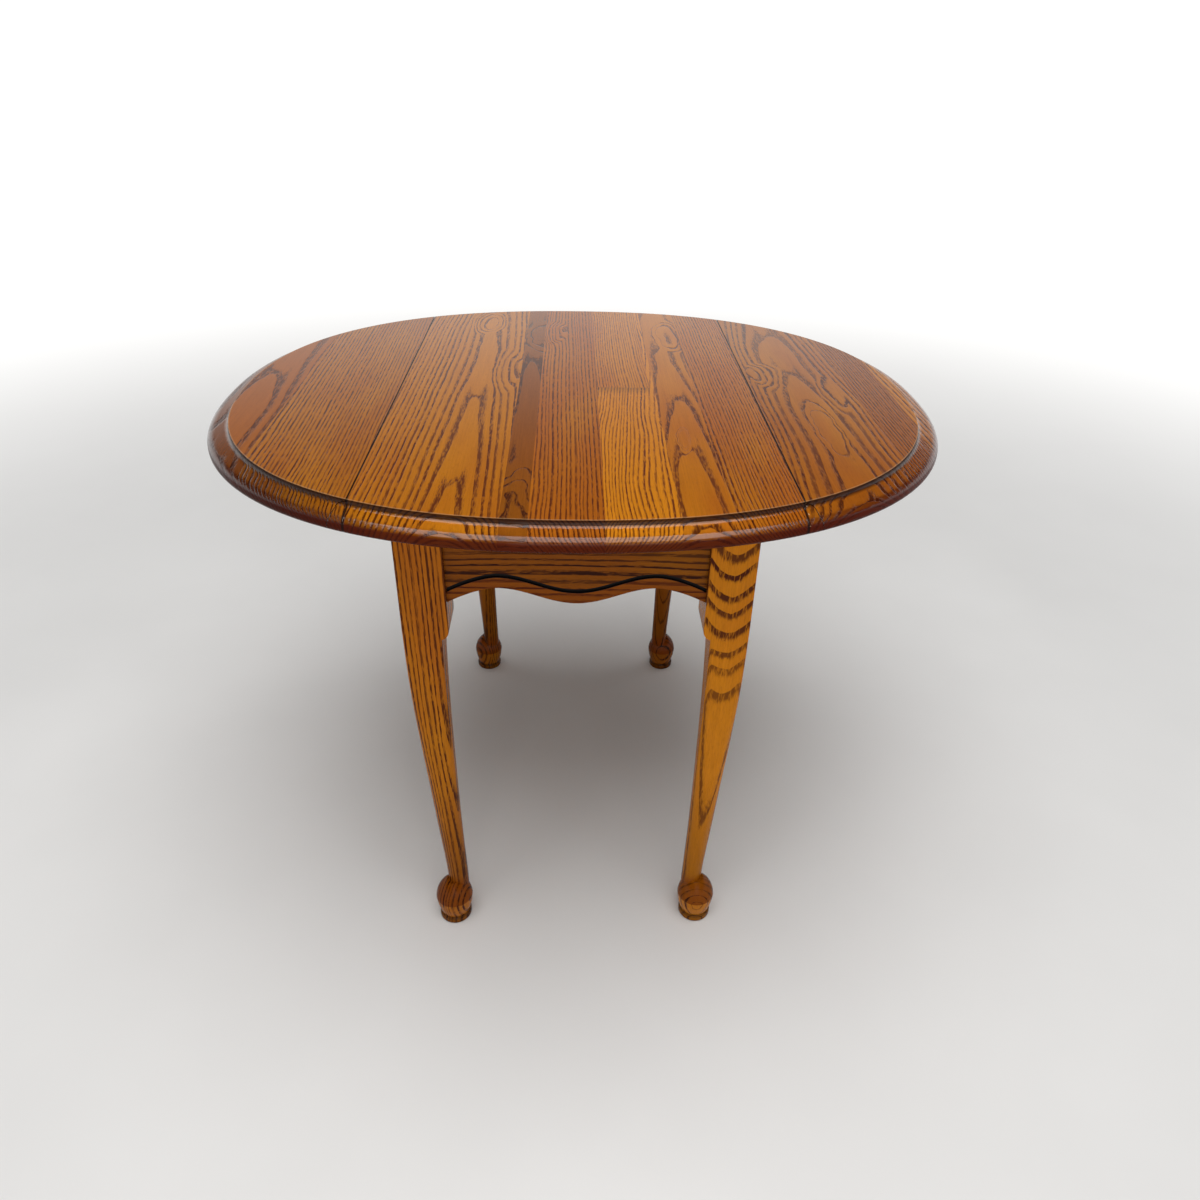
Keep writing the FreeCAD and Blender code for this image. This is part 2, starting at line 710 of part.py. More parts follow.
def hinge_leaf_plate():
    """Long plate under the leaf, with the middle knuckle."""
    half = HINGE_WIDE / 2
    inner = MIDDLE_KNUCKLE / 2
    z0 = UNDERSIDE
    z1 = z0 + PLATE_THICK
    parts = [
        box(HINGE_X + PLATE_START, HINGE_X + LEAF_PLATE_OUT, -half, half, z0, z1),
        box(HINGE_X, HINGE_X + PLATE_START, -inner, inner, z0, z1),
        knuckle(-inner, inner, PIN_R + PIN_PLAY),
    ]
    plate = clear_bore(fuse_all(parts), PIN_R + PIN_PLAY)
    return cut_all(plate, [screw_room(x, y) for x, y in leaf_screw_xy()])


def hinge_pin():
    return rod(PIN_R, Vector(HINGE_X, -HINGE_WIDE / 2, PIN_Z), Vector(0, 1, 0), HINGE_WIDE)


def hinge_recess_fixed():
    """Mortise for the short plate and groove for the knuckles, in the fixed panel."""
    half = HINGE_WIDE / 2
    spare = half + MORTISE_SPARE
    low = UNDERSIDE - EXTRA
    plate_room = box(HINGE_X - FIXED_PLATE_IN, HINGE_X, -half, half,
                     low, UNDERSIDE + PLATE_THICK)
    leaf_side = box(HINGE_X, HINGE_X + RULE_R + EXTRA, -spare, spare,
                    low, UNDERSIDE + PLATE_THICK + MORTISE_SPARE)
    groove = box(HINGE_X - GROOVE_HALF, HINGE_X + GROOVE_HALF, -spare, spare,
                 low, PIN_Z + GROOVE_TOP)
    screws = [rod(HINGE_SCREW_R, Vector(x, y, low), Vector(0, 0, 1),
                  UNDERSIDE + HINGE_SCREW_LONG - low) for x, y in fixed_screw_xy()]
    return fuse_all([plate_room, leaf_side, groove] + screws)


def hinge_recess_leaf():
    """Mortise for the long plate, in the leaf."""
    half = HINGE_WIDE / 2
    low = UNDERSIDE - EXTRA
    plate_room = box(HINGE_X, HINGE_X + LEAF_PLATE_OUT, -half, half,
                     low, UNDERSIDE + PLATE_THICK)
    screws = [rod(HINGE_SCREW_R, Vector(x, y, low), Vector(0, 0, 1),
                  UNDERSIDE + HINGE_SCREW_LONG - low) for x, y in leaf_screw_xy()]
    return fuse_all([plate_room] + screws)


def at_hinges(shape):
    """The shape at both hinges of the right-hand joint."""
    copies = []
    for y in (-HINGE_Y, HINGE_Y):
        copy = shape.copy()
        copy.translate(Vector(0, y, 0))
        copies.append(copy)
    return copies


# ---------------------------------------------------------------- folding stays
PIVOT_FIXED = Vector(STAY_FIXED_X, 0, PIN_Z - STAY_FIXED_DROP)
PIVOT_LEAF = Vector(HINGE_X + STAY_LEAF_OUT, 0, PIN_Z - STAY_LEAF_DROP)
PIVOT_KNUCKLE = (PIVOT_FIXED + PIVOT_LEAF) * 0.5


def link(start, end, y0, y1, hole_start, hole_end):
    """Flat steel arm with round ends and a hole at each end."""
    way = (end - start).normalize()
    side = way.cross(Vector(0, 1, 0)) * ARM_HALF
    along = Vector(0, 1, 0)
    lift = along * y0
    depth = along * (y1 - y0)
    points = [start + side + lift, end + side + lift, end - side + lift, start - side + lift]
    parts = [prism(points, depth)]
    holes = []
    for pivot, hole in ((start, hole_start), (end, hole_end)):
        parts.append(rod(ARM_HALF, pivot + lift, along, y1 - y0))
        holes.append(rod(hole, pivot + lift - along * PASS, along, y1 - y0 + 2 * PASS))
    return cut_all(fuse_all(parts), holes)


LOWER_Y = (ARM_SPLIT, ARM_SPLIT + ARM_THICK)
UPPER_Y = (-ARM_SPLIT - ARM_THICK, -ARM_SPLIT)
FIXED_EAR_Y = (LOWER_Y[1] + ARM_SPLIT, LOWER_Y[1] + ARM_SPLIT + BRACKET_THICK)
LEAF_EAR_Y = (UPPER_Y[0] - ARM_SPLIT - BRACKET_THICK, UPPER_Y[0] - ARM_SPLIT)


def stay_lower_arm():
    return link(PIVOT_FIXED, PIVOT_KNUCKLE, *LOWER_Y, RIVET_R + RIVET_PLAY, RIVET_R)


def stay_upper_arm():
    return link(PIVOT_LEAF, PIVOT_KNUCKLE, *UPPER_Y, RIVET_R + RIVET_PLAY, RIVET_R)


def rivet(pivot, shank_y, head_ys):
    """Shank between two y values, with a flat head at each listed y span."""
    shank = rod(RIVET_R, pivot + Vector(0, shank_y[0], 0), Vector(0, 1, 0),
                shank_y[1] - shank_y[0])
    parts = [shank]
    for y0, y1 in head_ys:
        parts.append(rod(RIVET_HEAD_R, pivot + Vector(0, y0, 0), Vector(0, 1, 0), y1 - y0))
    return fuse_all(parts)


def stay_apron_rivet():
    inner = LOWER_Y[0] - ARM_SPLIT
    outer = FIXED_EAR_Y[1]
    return rivet(PIVOT_FIXED, (inner, outer),
                 ((inner - RIVET_HEAD, inner), (outer, outer + RIVET_HEAD)))


def stay_leaf_rivet():
    inner = UPPER_Y[1] + ARM_SPLIT
    outer = LEAF_EAR_Y[0]
    return rivet(PIVOT_LEAF, (outer, inner),
                 ((inner, inner + RIVET_HEAD), (outer - RIVET_HEAD, outer)))


def stay_knuckle_lower():
    """Half of the knuckle rivet, carried by the lower arm."""
    return rivet(PIVOT_KNUCKLE, LOWER_Y, ((LOWER_Y[1], LOWER_Y[1] + RIVET_HEAD),))


def stay_knuckle_upper():
    """The other half of the knuckle rivet, carried by the upper arm."""
    return rivet(PIVOT_KNUCKLE, UPPER_Y, ((UPPER_Y[0] - RIVET_HEAD, UPPER_Y[0]),))


def stay_apron_screw_z():
    reach = BRACKET_HALF_LONG - STAY_SCREW_FROM_END
    return (PIVOT_FIXED.z - reach, PIVOT_FIXED.z + reach)


def stay_apron_bracket():
    """Angle bracket on the side apron: a plate, and an ear that holds the pivot."""
    face = SIDE_FACE_X
    ear_low, ear_high = FIXED_EAR_Y
    plate = box(face, face + BRACKET_THICK, ear_high - BRACKET_WIDE, ear_high,
                PIVOT_FIXED.z - BRACKET_HALF_LONG, PIVOT_FIXED.z + BRACKET_HALF_LONG)
    ear = box(face, PIVOT_FIXED.x, ear_low, ear_high,
              PIVOT_FIXED.z - EAR_HALF, PIVOT_FIXED.z + EAR_HALF)
    tip = rod(EAR_HALF, PIVOT_FIXED + Vector(0, ear_low, 0), Vector(0, 1, 0), BRACKET_THICK)
    bracket = fuse_all([plate, ear, tip])
    holes = [rod(RIVET_R, PIVOT_FIXED, Vector(0, 1, 0), 2 * ear_high)]
    y = ear_high - BRACKET_WIDE / 2
    holes += [rod(STAY_SCREW_R, Vector(face - PASS, y, z), Vector(1, 0, 0),
                  BRACKET_THICK + 2 * PASS) for z in stay_apron_screw_z()]
    return cut_all(bracket, holes)


def stay_apron_screws():
    y = FIXED_EAR_Y[1] - BRACKET_WIDE / 2
    start = SIDE_FACE_X + BRACKET_THICK
    screws = []
    for z in stay_apron_screw_z():
        shank = rod(STAY_SCREW_R, Vector(start, y, z), Vector(-1, 0, 0),
                    BRACKET_THICK + STAY_SCREW_BITE)
        head = rod(STAY_SCREW_HEAD_R, Vector(start, y, z), Vector(1, 0, 0), STAY_SCREW_HEAD)
        screws.append(head.fuse(shank).removeSplitter())
    return screws


def stay_apron_screw_tools():
    y = FIXED_EAR_Y[1] - BRACKET_WIDE / 2
    return [rod(STAY_SCREW_R, Vector(SIDE_FACE_X + PASS, y, z), Vector(-1, 0, 0),
                STAY_SCREW_BITE + PASS) for z in stay_apron_screw_z()]


def stay_leaf_screw_x():
    reach = BRACKET_HALF_LONG - STAY_SCREW_FROM_END
    return (PIVOT_LEAF.x - reach, PIVOT_LEAF.x + reach)


def stay_leaf_bracket():
    """Angle bracket under the leaf: a plate, and an ear that holds the pivot."""
    top = UNDERSIDE
    ear_low, ear_high = LEAF_EAR_Y
    plate = box(PIVOT_LEAF.x - BRACKET_HALF_LONG, PIVOT_LEAF.x + BRACKET_HALF_LONG,
                ear_low, ear_low + BRACKET_WIDE, top - BRACKET_THICK, top)
    ear = box(PIVOT_LEAF.x - EAR_HALF, PIVOT_LEAF.x + EAR_HALF, ear_low, ear_high,
              PIVOT_LEAF.z, top)
    tip = rod(EAR_HALF, PIVOT_LEAF + Vector(0, ear_low, 0), Vector(0, 1, 0), BRACKET_THICK)
    bracket = fuse_all([plate, ear, tip])
    holes = [rod(RIVET_R, PIVOT_LEAF, Vector(0, -1, 0), -2 * ear_low)]
    y = ear_low + BRACKET_WIDE / 2
    holes += [rod(STAY_SCREW_R, Vector(x, y, top + PASS), Vector(0, 0, -1),
                  BRACKET_THICK + 2 * PASS) for x in stay_leaf_screw_x()]
    return cut_all(bracket, holes)


def stay_leaf_screws():
    y = LEAF_EAR_Y[0] + BRACKET_WIDE / 2
    start = UNDERSIDE - BRACKET_THICK
    screws = []
    for x in stay_leaf_screw_x():
        shank = rod(STAY_SCREW_R, Vector(x, y, start), Vector(0, 0, 1),
                    BRACKET_THICK + STAY_SCREW_BITE)
        head = rod(STAY_SCREW_HEAD_R, Vector(x, y, start), Vector(0, 0, -1), STAY_SCREW_HEAD)
        screws.append(head.fuse(shank).removeSplitter())
    return screws


def stay_leaf_screw_tools():
    y = LEAF_EAR_Y[0] + BRACKET_WIDE / 2
    return [rod(STAY_SCREW_R, Vector(x, y, UNDERSIDE - PASS), Vector(0, 0, 1),
                STAY_SCREW_BITE + PASS) for x in stay_leaf_screw_x()]


# ---------------------------------------------------------------- panels
def center_panel(board):
    far = FLAT_HALF_X + MOULD_OUT + EXTRA
    right = rule_region(0, far)
    panel = board.common(right).common(mirror_x(right))
    recesses = at_hinges(hinge_recess_fixed())
    tools = recesses + [mirror_x(recess) for recess in recesses]
    tools += button_copies(button_screw_shank())
    return cut_all(panel, tools)


def right_leaf(board):
    far = FLAT_HALF_X + MOULD_OUT + EXTRA
    leaf = board.cut(rule_region(RULE_GAP, far))
    return cut_all(leaf, at_hinges(hinge_recess_leaf()) + stay_leaf_screw_tools())


# ---------------------------------------------------------------- output
def save(name, shapes):
    solids = []
    for shape in shapes:
        solids += shape.Solids
    for solid in solids:
        if not solid.isValid():
            print("invalid solid in", name)
    result = solids[0] if len(solids) == 1 else Part.makeCompound(solids)
    result.exportStep(os.path.join("parts", name + ".step"))
    print(name, len(solids), round(sum(s.Volume for s in solids) / 1000, 1), "cm3")


def save_sides(name, shapes):
    save(name + "_right", shapes)
    save(name + "_left", [mirror_x(shape) for shape in shapes])


def save_corners(name, shape):
    save(name + "_rear_right", [shape])
    save(name + "_rear_left", [mirror_x(shape)])
    save(name + "_front_right", [mirror_y(shape)])
    save(name + "_front_left", [mirror_y(mirror_x(shape))])


def four_corners(shapes):
    copies = []
    for shape in shapes:
        copies += [shape, mirror_x(shape), mirror_y(shape), mirror_y(mirror_x(shape))]
    return copies


def main():
    os.makedirs("parts", exist_ok=True)
    board = oval_board()
    save("top_center_panel", [center_panel(board)])
    save_sides("leaf", [right_leaf(board)])

    save_corners("leg", leg())
    apron = end_apron()
    save("apron_rear", [apron])
    save("apron_front", [mirror_y(apron)])
    save_sides("apron", [side_apron()])
    save_corners("corner_block", corner_block())
    save("hanger_bolts", four_corners([hanger_bolt()]))
    save("hanger_bolt_washers", four_corners([bolt_washer()]))
    save("hanger_bolt_nuts", four_corners([bolt_nut()]))
    save("corner_block_screws", four_corners(block_screws()))
    save("top_buttons", button_copies(button()))
    save("top_button_screws", button_copies(button_screw()))

    save_sides("hinge_fixed_plates", at_hinges(hinge_fixed_plate()))
    save_sides("hinge_leaf_plates", at_hinges(hinge_leaf_plate()))
    save_sides("hinge_pins", at_hinges(hinge_pin()))
    fixed_screws = [countersunk_screw(x, y) for x, y in fixed_screw_xy()]
    leaf_screws = [countersunk_screw(x, y) for x, y in leaf_screw_xy()]
    save_sides("hinge_fixed_screws", [c for s in fixed_screws for c in at_hinges(s)])
    save_sides("hinge_leaf_screws", [c for s in leaf_screws for c in at_hinges(s)])

    save_sides("stay_apron_bracket", [stay_apron_bracket()])
    save_sides("stay_apron_screws", stay_apron_screws())
    save_sides("stay_apron_rivet", [stay_apron_rivet()])
    save_sides("stay_lower_arm", [stay_lower_arm()])
    save_sides("stay_knuckle_lower", [stay_knuckle_lower()])
    save_sides("stay_upper_arm", [stay_upper_arm()])
    save_sides("stay_knuckle_upper", [stay_knuckle_upper()])
    save_sides("stay_leaf_rivet", [stay_leaf_rivet()])
    save_sides("stay_leaf_bracket", [stay_leaf_bracket()])
    save_sides("stay_leaf_screws", stay_leaf_screws())


main()
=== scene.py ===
import math
from collections import namedtuple

import bpy
from mathutils import Matrix, Vector


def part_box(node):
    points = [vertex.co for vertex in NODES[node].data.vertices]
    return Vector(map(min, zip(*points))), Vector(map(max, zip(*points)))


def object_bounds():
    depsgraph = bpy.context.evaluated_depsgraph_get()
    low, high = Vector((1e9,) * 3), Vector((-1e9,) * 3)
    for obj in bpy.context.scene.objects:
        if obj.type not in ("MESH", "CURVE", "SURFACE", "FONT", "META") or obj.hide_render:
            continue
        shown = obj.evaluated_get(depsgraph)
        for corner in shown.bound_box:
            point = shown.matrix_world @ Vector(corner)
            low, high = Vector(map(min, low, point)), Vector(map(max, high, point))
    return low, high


# Looks for the drop leaf end table: stained ash under lacquer, steel fittings,
# a pale studio floor, soft light and the camera.  Lengths are metres.

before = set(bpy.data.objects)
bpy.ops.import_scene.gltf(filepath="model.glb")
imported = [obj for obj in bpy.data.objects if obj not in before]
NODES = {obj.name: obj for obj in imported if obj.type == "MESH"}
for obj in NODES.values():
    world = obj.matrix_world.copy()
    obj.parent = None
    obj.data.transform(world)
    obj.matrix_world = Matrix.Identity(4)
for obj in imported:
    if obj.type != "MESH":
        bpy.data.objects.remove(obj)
CAD_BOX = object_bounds()

MM = 0.001
TOP_Z = CAD_BOX[1].z


# ------------------------------------------------------------ shader writing

class Field:
    """A number that varies over a surface. Arithmetic on it adds math nodes."""

    def __init__(self, paint, socket):
        self.paint = paint
        self.socket = socket

    def __add__(self, other):
        return self.paint.math("ADD", self, other)

    def __sub__(self, other):
        return self.paint.math("SUBTRACT", self, other)

    def __mul__(self, other):
        return self.paint.math("MULTIPLY", self, other)

    def __truediv__(self, other):
        return self.paint.math("DIVIDE", self, other)

    def __rsub__(self, other):
        return self.paint.math("SUBTRACT", other, self)

    def __neg__(self):
        return self * -1.0

    def above(self, limit):
        """1 where the field is above the limit, else 0."""
        return self.paint.math("GREATER_THAN", self, limit)

    def ramp(self, start, end, low=0.0, high=1.0):
        """Smooth change from low at start to high at end, flat outside."""
        return self.paint.ramp(self, start, end, low, high)


class Paint:
    """One material. x, y, z are the point in the table's frame at rest."""

    def __init__(self, name):
        self.material = bpy.data.materials.new(name)
        self.material.use_nodes = True
        self.tree = self.material.node_tree
        self.tree.nodes.clear()
        place = self.node("ShaderNodeTexCoord").outputs["Object"]
        split = self.node("ShaderNodeSeparateXYZ")
        self.tree.links.new(place, split.inputs[0])
        self.x, self.y, self.z = (Field(self, socket) for socket in split.outputs)

    def node(self, kind, **settings):
        made = self.tree.nodes.new(kind)
        for key, value in settings.items():
            setattr(made, key, value)
        return made

    def feed(self, socket, value):
        """Puts a number, a colour or another node's output into a socket."""
        if isinstance(value, Field):
            value = value.socket
        if isinstance(value, bpy.types.NodeSocket):
            self.tree.links.new(value, socket)
        elif socket.type == "RGBA":
            socket.default_value = (*value, 1.0)
        else:
            socket.default_value = value

    def math(self, operation, *values):
        made = self.node("ShaderNodeMath", operation=operation)
        for socket, value in zip(made.inputs, values):
            self.feed(socket, value)
        return Field(self, made.outputs[0])

    def root(self, value):
        return self.math("SQRT", value)

    def fraction(self, value):
        return self.math("FRACT", value)

    def unsigned(self, value):
        """The value without its sign."""
        return self.math("ABSOLUTE", value)

    def largest(self, a, b):
        return self.math("MAXIMUM", a, b)

    def smallest(self, a, b):
        return self.math("MINIMUM", a, b)

    def ramp(self, value, start, end, low=0.0, high=1.0):
        made = self.node("ShaderNodeMapRange", interpolation_type="SMOOTHSTEP")
        for socket, item in zip(made.inputs, (value, start, end, low, high)):
            self.feed(socket, item)
        return Field(self, made.outputs[0])

    def vector(self, x, y, z):
        made = self.node("ShaderNodeCombineXYZ")
        for socket, value in zip(made.inputs, (x, y, z)):
            self.feed(socket, value)
        return made.outputs[0]

    def noise(self, x, y, z, detail=1.0, roughness=0.5):
        """Smooth noise from -0.5 to 0.5; one unit of x, y or z is one bump."""
        made = self.node("ShaderNodeTexNoise")
        self.feed(made.inputs["Vector"], self.vector(x, y, z))
        self.feed(made.inputs["Scale"], 1.0)
        self.feed(made.inputs["Detail"], detail)
        self.feed(made.inputs["Roughness"], roughness)
        return Field(self, made.outputs["Fac"]) - 0.5

    def chance(self, value):
        """A random number from 0 to 1 for each whole value."""
        made = self.node("ShaderNodeTexWhiteNoise", noise_dimensions="1D")
        self.feed(made.inputs["W"], value)
        return Field(self, made.outputs["Value"])

    def steps(self, value, limits, choices):
        """Three fields at once: choices[0] below limits[0], choices[1] above it, and so on."""
        chosen = self.vector(*choices[0])
        for limit, choice in zip(limits, choices[1:]):
            made = self.node("ShaderNodeMix", data_type="VECTOR")
            self.feed(made.inputs["Factor"], value.above(limit))
            self.tree.links.new(chosen, made.inputs[4])
            made.inputs[5].default_value = choice
            chosen = made.outputs[1]
        split = self.node("ShaderNodeSeparateXYZ")
        self.tree.links.new(chosen, split.inputs[0])
        return [Field(self, socket) for socket in split.outputs]

    def mix(self, factor, a, b):
        """Colour a where factor is 0, colour b where it is 1."""
        made = self.node("ShaderNodeMix", data_type="RGBA")
        self.feed(made.inputs["Factor"], factor)
        self.feed(made.inputs[6], a)
        self.feed(made.inputs[7], b)
        return made.outputs[2]

    def brighten(self, colour, amount):
        """The colour times a field."""
        made = self.node("ShaderNodeVectorMath", operation="SCALE")
        self.feed(made.inputs[0], colour)
        self.feed(made.inputs["Scale"], amount)
        return made.outputs[0]

    def bump(self, height, depth):
        """Surface relief: the height field, 0 to 1, is that many metres deep."""
        made = self.node("ShaderNodeBump")
        made.inputs["Strength"].default_value = 1.0
        made.inputs["Distance"].default_value = depth
        self.feed(made.inputs["Height"], height)
        return made.outputs[0]

    def surface(self, colour, roughness, relief, metallic=0.0, ior=1.45, shine=0.5):
        """Ends the material with its shader. shine scales the reflection, 0.5 is normal."""
        shader = self.node("ShaderNodeBsdfPrincipled")
        self.feed(shader.inputs["Base Color"], colour)
        self.feed(shader.inputs["Roughness"], roughness)
        self.feed(shader.inputs["Normal"], relief)
        self.feed(shader.inputs["Specular IOR Level"], shine)
        shader.inputs["Metallic"].default_value = metallic
        shader.inputs["IOR"].default_value = ior
        end = self.node("ShaderNodeOutputMaterial")
        self.tree.links.new(shader.outputs[0], end.inputs["Surface"])
        return self.material


def dress(material, *names):
    """Gives these CAD nodes the material, in every slot they have."""
    for name in names:
        mesh = NODES[name].data
        if not mesh.materials:
            mesh.materials.append(material)
        for i in range(len(mesh.materials)):
            mesh.materials[i] = material


# ------------------------------------------------------------ wood

GOLD = (0.50, 0.170, 0.0055)        # late wood, the lighter part of a ring
AMBER = (0.40, 0.108, 0.0055)
PORE_DARK_AND_SHADE = (0.055, 0.009, 0.0015)  # early wood, where the stain sits in the pores; also painted shade beside the end aprons
PORE_SOFT = (0.115, 0.023, 0.0035)  # the same on the top, worn thinner
# black glaze for the seams, and for the cove, where it is also painted shade
BLACK_GLAZE_AND_SHADE = (0.012, 0.004, 0.003)
# bare wood at the chips, and the colour of the painted highlight on the arris
BARE_WOOD_AND_HIGHLIGHT = (0.58, 0.38, 0.20)
RED_GLAZE_AND_SHADE = (0.065, 0.0075, 0.0018)  # over the moulding, and painted shade low on the roll
RED_STAIN = (0.24, 0.038, 0.003)    # in the feet and below the end aprons' groove
PORE_RELIEF = 0.05 * MM             # how deep the early wood lies

# Where a board was cut from the log, and how the log grew. Lengths are metres.
# tone is its brightness, gold how much of it is the golden colour, from -0.5 to 0.5.
Cut = namedtuple("Cut", "pith_across pith_through taper spacing wander tone gold")

# Noise in wood, as bumps per metre across the grain and along it.
Grain = namedtuple("Grain", "across along")
BEND = Grain(9, 2.6)                # slow lean of the rings
CURL = Grain(30, 9)                 # smaller waves in them
RAGGED = Grain(300, 60)             # the torn edge of a ring
DASHES = Grain(1300, 110)           # rows of pores
BREAKS = Grain(420, 62)             # stretches where a ring is faint
BLOTCH = Grain(22, 5)               # clouds in the stain
FIBRE = Grain(700, 14)              # fine streaks

CURL_SIZE = 3.0 * MM                # how far the waves move a ring
RAGGED_SIZE = 0.5 * MM
YEARS = 0.45                        # how often the rings change their spacing
YEARS_SIZE = 1.3                    # and by how many rings they are then out of step
FAINTEST = 0.75                     # strength of the faintest ring
STRENGTHS = 0.40                    # how much stronger the strongest is
FLAT_CUT = (0.02, 0.22)             # slope at which a cut is flat, and at which it is steep
FLAT_NARROWS = 4.0                  # how much narrower early wood is in a flat cut
RING_START = (0.0, 0.05)            # shares of a ring: where its dark line sets in,
LINE_END = (0.27, 0.47)             # where the line ends,
PORES_END = (0.30, 0.60)            # and where the single pores end
BREAK_LEVEL = (-0.12, 0.06)
BREAK_LEFT = 0.38                   # what is left of the line in a faint stretch
DASH_LEVEL = (-0.04, 0.10)
PORE_COVER = 0.95
FLECK_LEVEL = (0.06, 0.16)
FLECK_COVER = 0.16
STAIN_LEVEL = (-0.3, 0.3)
FIBRE_LIGHT = 0.40


def growth_rings(paint, across, along, through, cut, seed, swell, slope):
    """Dark early wood, 0 to 1, where a board meets the log's growth rings.

    The rings are cones about the pith; slow noise bends them, so a flat cut
    shows arches and a cut toward the pith shows straight lines. swell pushes
    the rings out of line. slope is how fast they really cross a flat cut: where
    they barely do, their dark part is kept narrow. A ring starts with a sharp
    dark line and breaks up into pores that run with the grain."""
    bend = paint.noise(across * BEND.across + seed, along * BEND.along,
                       through * BEND.across, detail=1)
    curl = paint.noise(across * CURL.across, along * CURL.along + seed,
                       through * CURL.across, detail=2)
    ragged = paint.noise(across * RAGGED.across, along * RAGGED.along,
                         through * RAGGED.across + seed, detail=2)
    du = across - cut.pith_across
    dw = through - cut.pith_through
    radius = paint.root(du * du + dw * dw)
    lean = du / radius
    tilt = paint.root(lean * lean + slope * slope)
    radius = radius + along * cut.taper + swell
    radius = radius + bend * cut.wander + curl * CURL_SIZE + ragged * RAGGED_SIZE
    rings = radius / cut.spacing
    rings = rings + paint.noise(rings * YEARS, seed, 0.0) * YEARS_SIZE
    phase = paint.fraction(rings)
    strength = paint.chance(rings - phase) * STRENGTHS + FAINTEST
    depth = phase * paint.largest(tilt.ramp(*FLAT_CUT, FLAT_NARROWS, 1.0), 1.0)
    dashes = paint.noise(across * DASHES.across, along * DASHES.along,
                         through * DASHES.across, detail=1)
    breaks = paint.noise(across * BREAKS.across, along * BREAKS.along,
                         through * BREAKS.across + seed, detail=1)
    line = depth.ramp(*LINE_END, 1.0, 0.0) * breaks.ramp(*BREAK_LEVEL, BREAK_LEFT, 1.0)
    pores = depth.ramp(*PORES_END, 1.0, 0.0) * dashes.ramp(*DASH_LEVEL)
    return phase.ramp(*RING_START) * paint.largest(line, pores) * strength, dashes


def ash(paint, across, along, through, cut, seed, pores=PORE_DARK_AND_SHADE, swell=0.0, slope=None):
    """Colour of stained ash, and its early wood for the relief."""
    slope = cut.taper if slope is None else slope
    early, dashes = growth_rings(paint, across, along, through, cut, seed, swell, slope)
    blotch = paint.noise(across * BLOTCH.across, along * BLOTCH.along,
                         through * BLOTCH.across + seed, detail=2)
    fibre = paint.noise(across * FIBRE.across, along * FIBRE.along,
                        through * FIBRE.across, detail=1)
    base = paint.mix((blotch + cut.gold).ramp(*STAIN_LEVEL), AMBER, GOLD)
    flecks = dashes.ramp(*FLECK_LEVEL) * FLECK_COVER
    colour = paint.mix(paint.largest(early * PORE_COVER, flecks), base, pores)
    colour = paint.brighten(colour, (fibre * FIBRE_LIGHT + 1.0) * cut.tone)
    return colour, early


# ------------------------------------------------------------ table top

# Boards glued side by side, from the left: where each starts along X, then its cut.
# The last one lies behind an end joint, and is found by a shift along X.
TOP_BOARDS = (
    (None, Cut(-345 * MM, -60 * MM, 0.020, 6.0 * MM, 16 * MM, 0.72, -0.35)),
    (-308 * MM, Cut(-440 * MM, -180 * MM, 0.012, 3.0 * MM, 7 * MM, 0.75, 0.00)),
    (-196 * MM, Cut(-110 * MM, -40 * MM, 0.018, 4.4 * MM, 7 * MM, 0.84, 0.15)),
    (-65 * MM, Cut(-52 * MM, -40 * MM, 0.026, 5.0 * MM, 12 * MM, 0.52, -0.30)),
    (-41 * MM, Cut(-200 * MM, -170 * MM, 0.006, 2.9 * MM, 5 * MM, 0.84, -0.15)),
    (23 * MM, Cut(150 * MM, -110 * MM, 0.014, 2.3 * MM, 26 * MM, 1.04, 0.32)),
    (87 * MM, Cut(108 * MM, -50 * MM, 0.020, 4.8 * MM, 18 * MM, 0.86, 0.05)),
    (132 * MM, Cut(10 * MM, -150 * MM, 0.010, 2.5 * MM, 5 * MM, 0.84, -0.10)),
    (196 * MM, Cut(252 * MM, -52 * MM, 0.022, 5.0 * MM, 22 * MM, 0.74, -0.05)),
    (310 * MM, Cut(180 * MM, -130 * MM, 0.014, 2.6 * MM, 8 * MM, 0.66, -0.30)),
    (352 * MM, Cut(300 * MM, -50 * MM, 0.020, 4.0 * MM, 10 * MM, 0.82, 0.20)),
    (600 * MM, Cut(210 * MM, -100 * MM, -0.012, 2.7 * MM, 14 * MM, 0.94, 0.10)),
)
BOARD_SEED_STEP = 7.3               # between one board's noise and the next one's
JOINT_LEFT = 23 * MM                # the board with the end joint
JOINT_RIGHT = 82 * MM
JOINT_Y = 1 * MM                    # where the joint is, front to back
JOINT_SHIFT = 600 * MM
# Where the rings swell into eyes and loops: board, x, y, half width, half length, height.
SWELLS = (
    (2, -118 * MM, 262 * MM, 28 * MM, 64 * MM, -9 * MM),
    (2, -80 * MM, 60 * MM, 20 * MM, 90 * MM, 6 * MM),
    (3, -53 * MM, -345 * MM, 26 * MM, 150 * MM, 18 * MM),
    (3, -46 * MM, 190 * MM, 22 * MM, 90 * MM, 9 * MM),
    (4, -30 * MM, 215 * MM, 20 * MM, 60 * MM, 6 * MM),
    (6, 105 * MM, -150 * MM, 9 * MM, 42 * MM, 12 * MM),
    (6, 124 * MM, 205 * MM, 26 * MM, 80 * MM, -10 * MM),
    (8, 222 * MM, 49 * MM, 22 * MM, 60 * MM, 9 * MM),
    (8, 256 * MM, -120 * MM, 16 * MM, 90 * MM, -8 * MM),
    (8, 284 * MM, -20 * MM, 14 * MM, 70 * MM, 7 * MM),
)
WOBBLE_X = Grain(45, 20)            # the eyes' outlines wander across the grain,
WOBBLE_X_SIZE = 14 * MM
WOBBLE_Y = Grain(30, 16)            # and along it
WOBBLE_Y_SIZE = 50 * MM

FLAT_HALF_X = 366.0 * MM            # the flat oval inside the moulding
FLAT_HALF_Y = 323.2 * MM
OVAL_POWER = 2.285
HINGE_X = 196.0 * MM                # the seams between the centre panel and the leaves

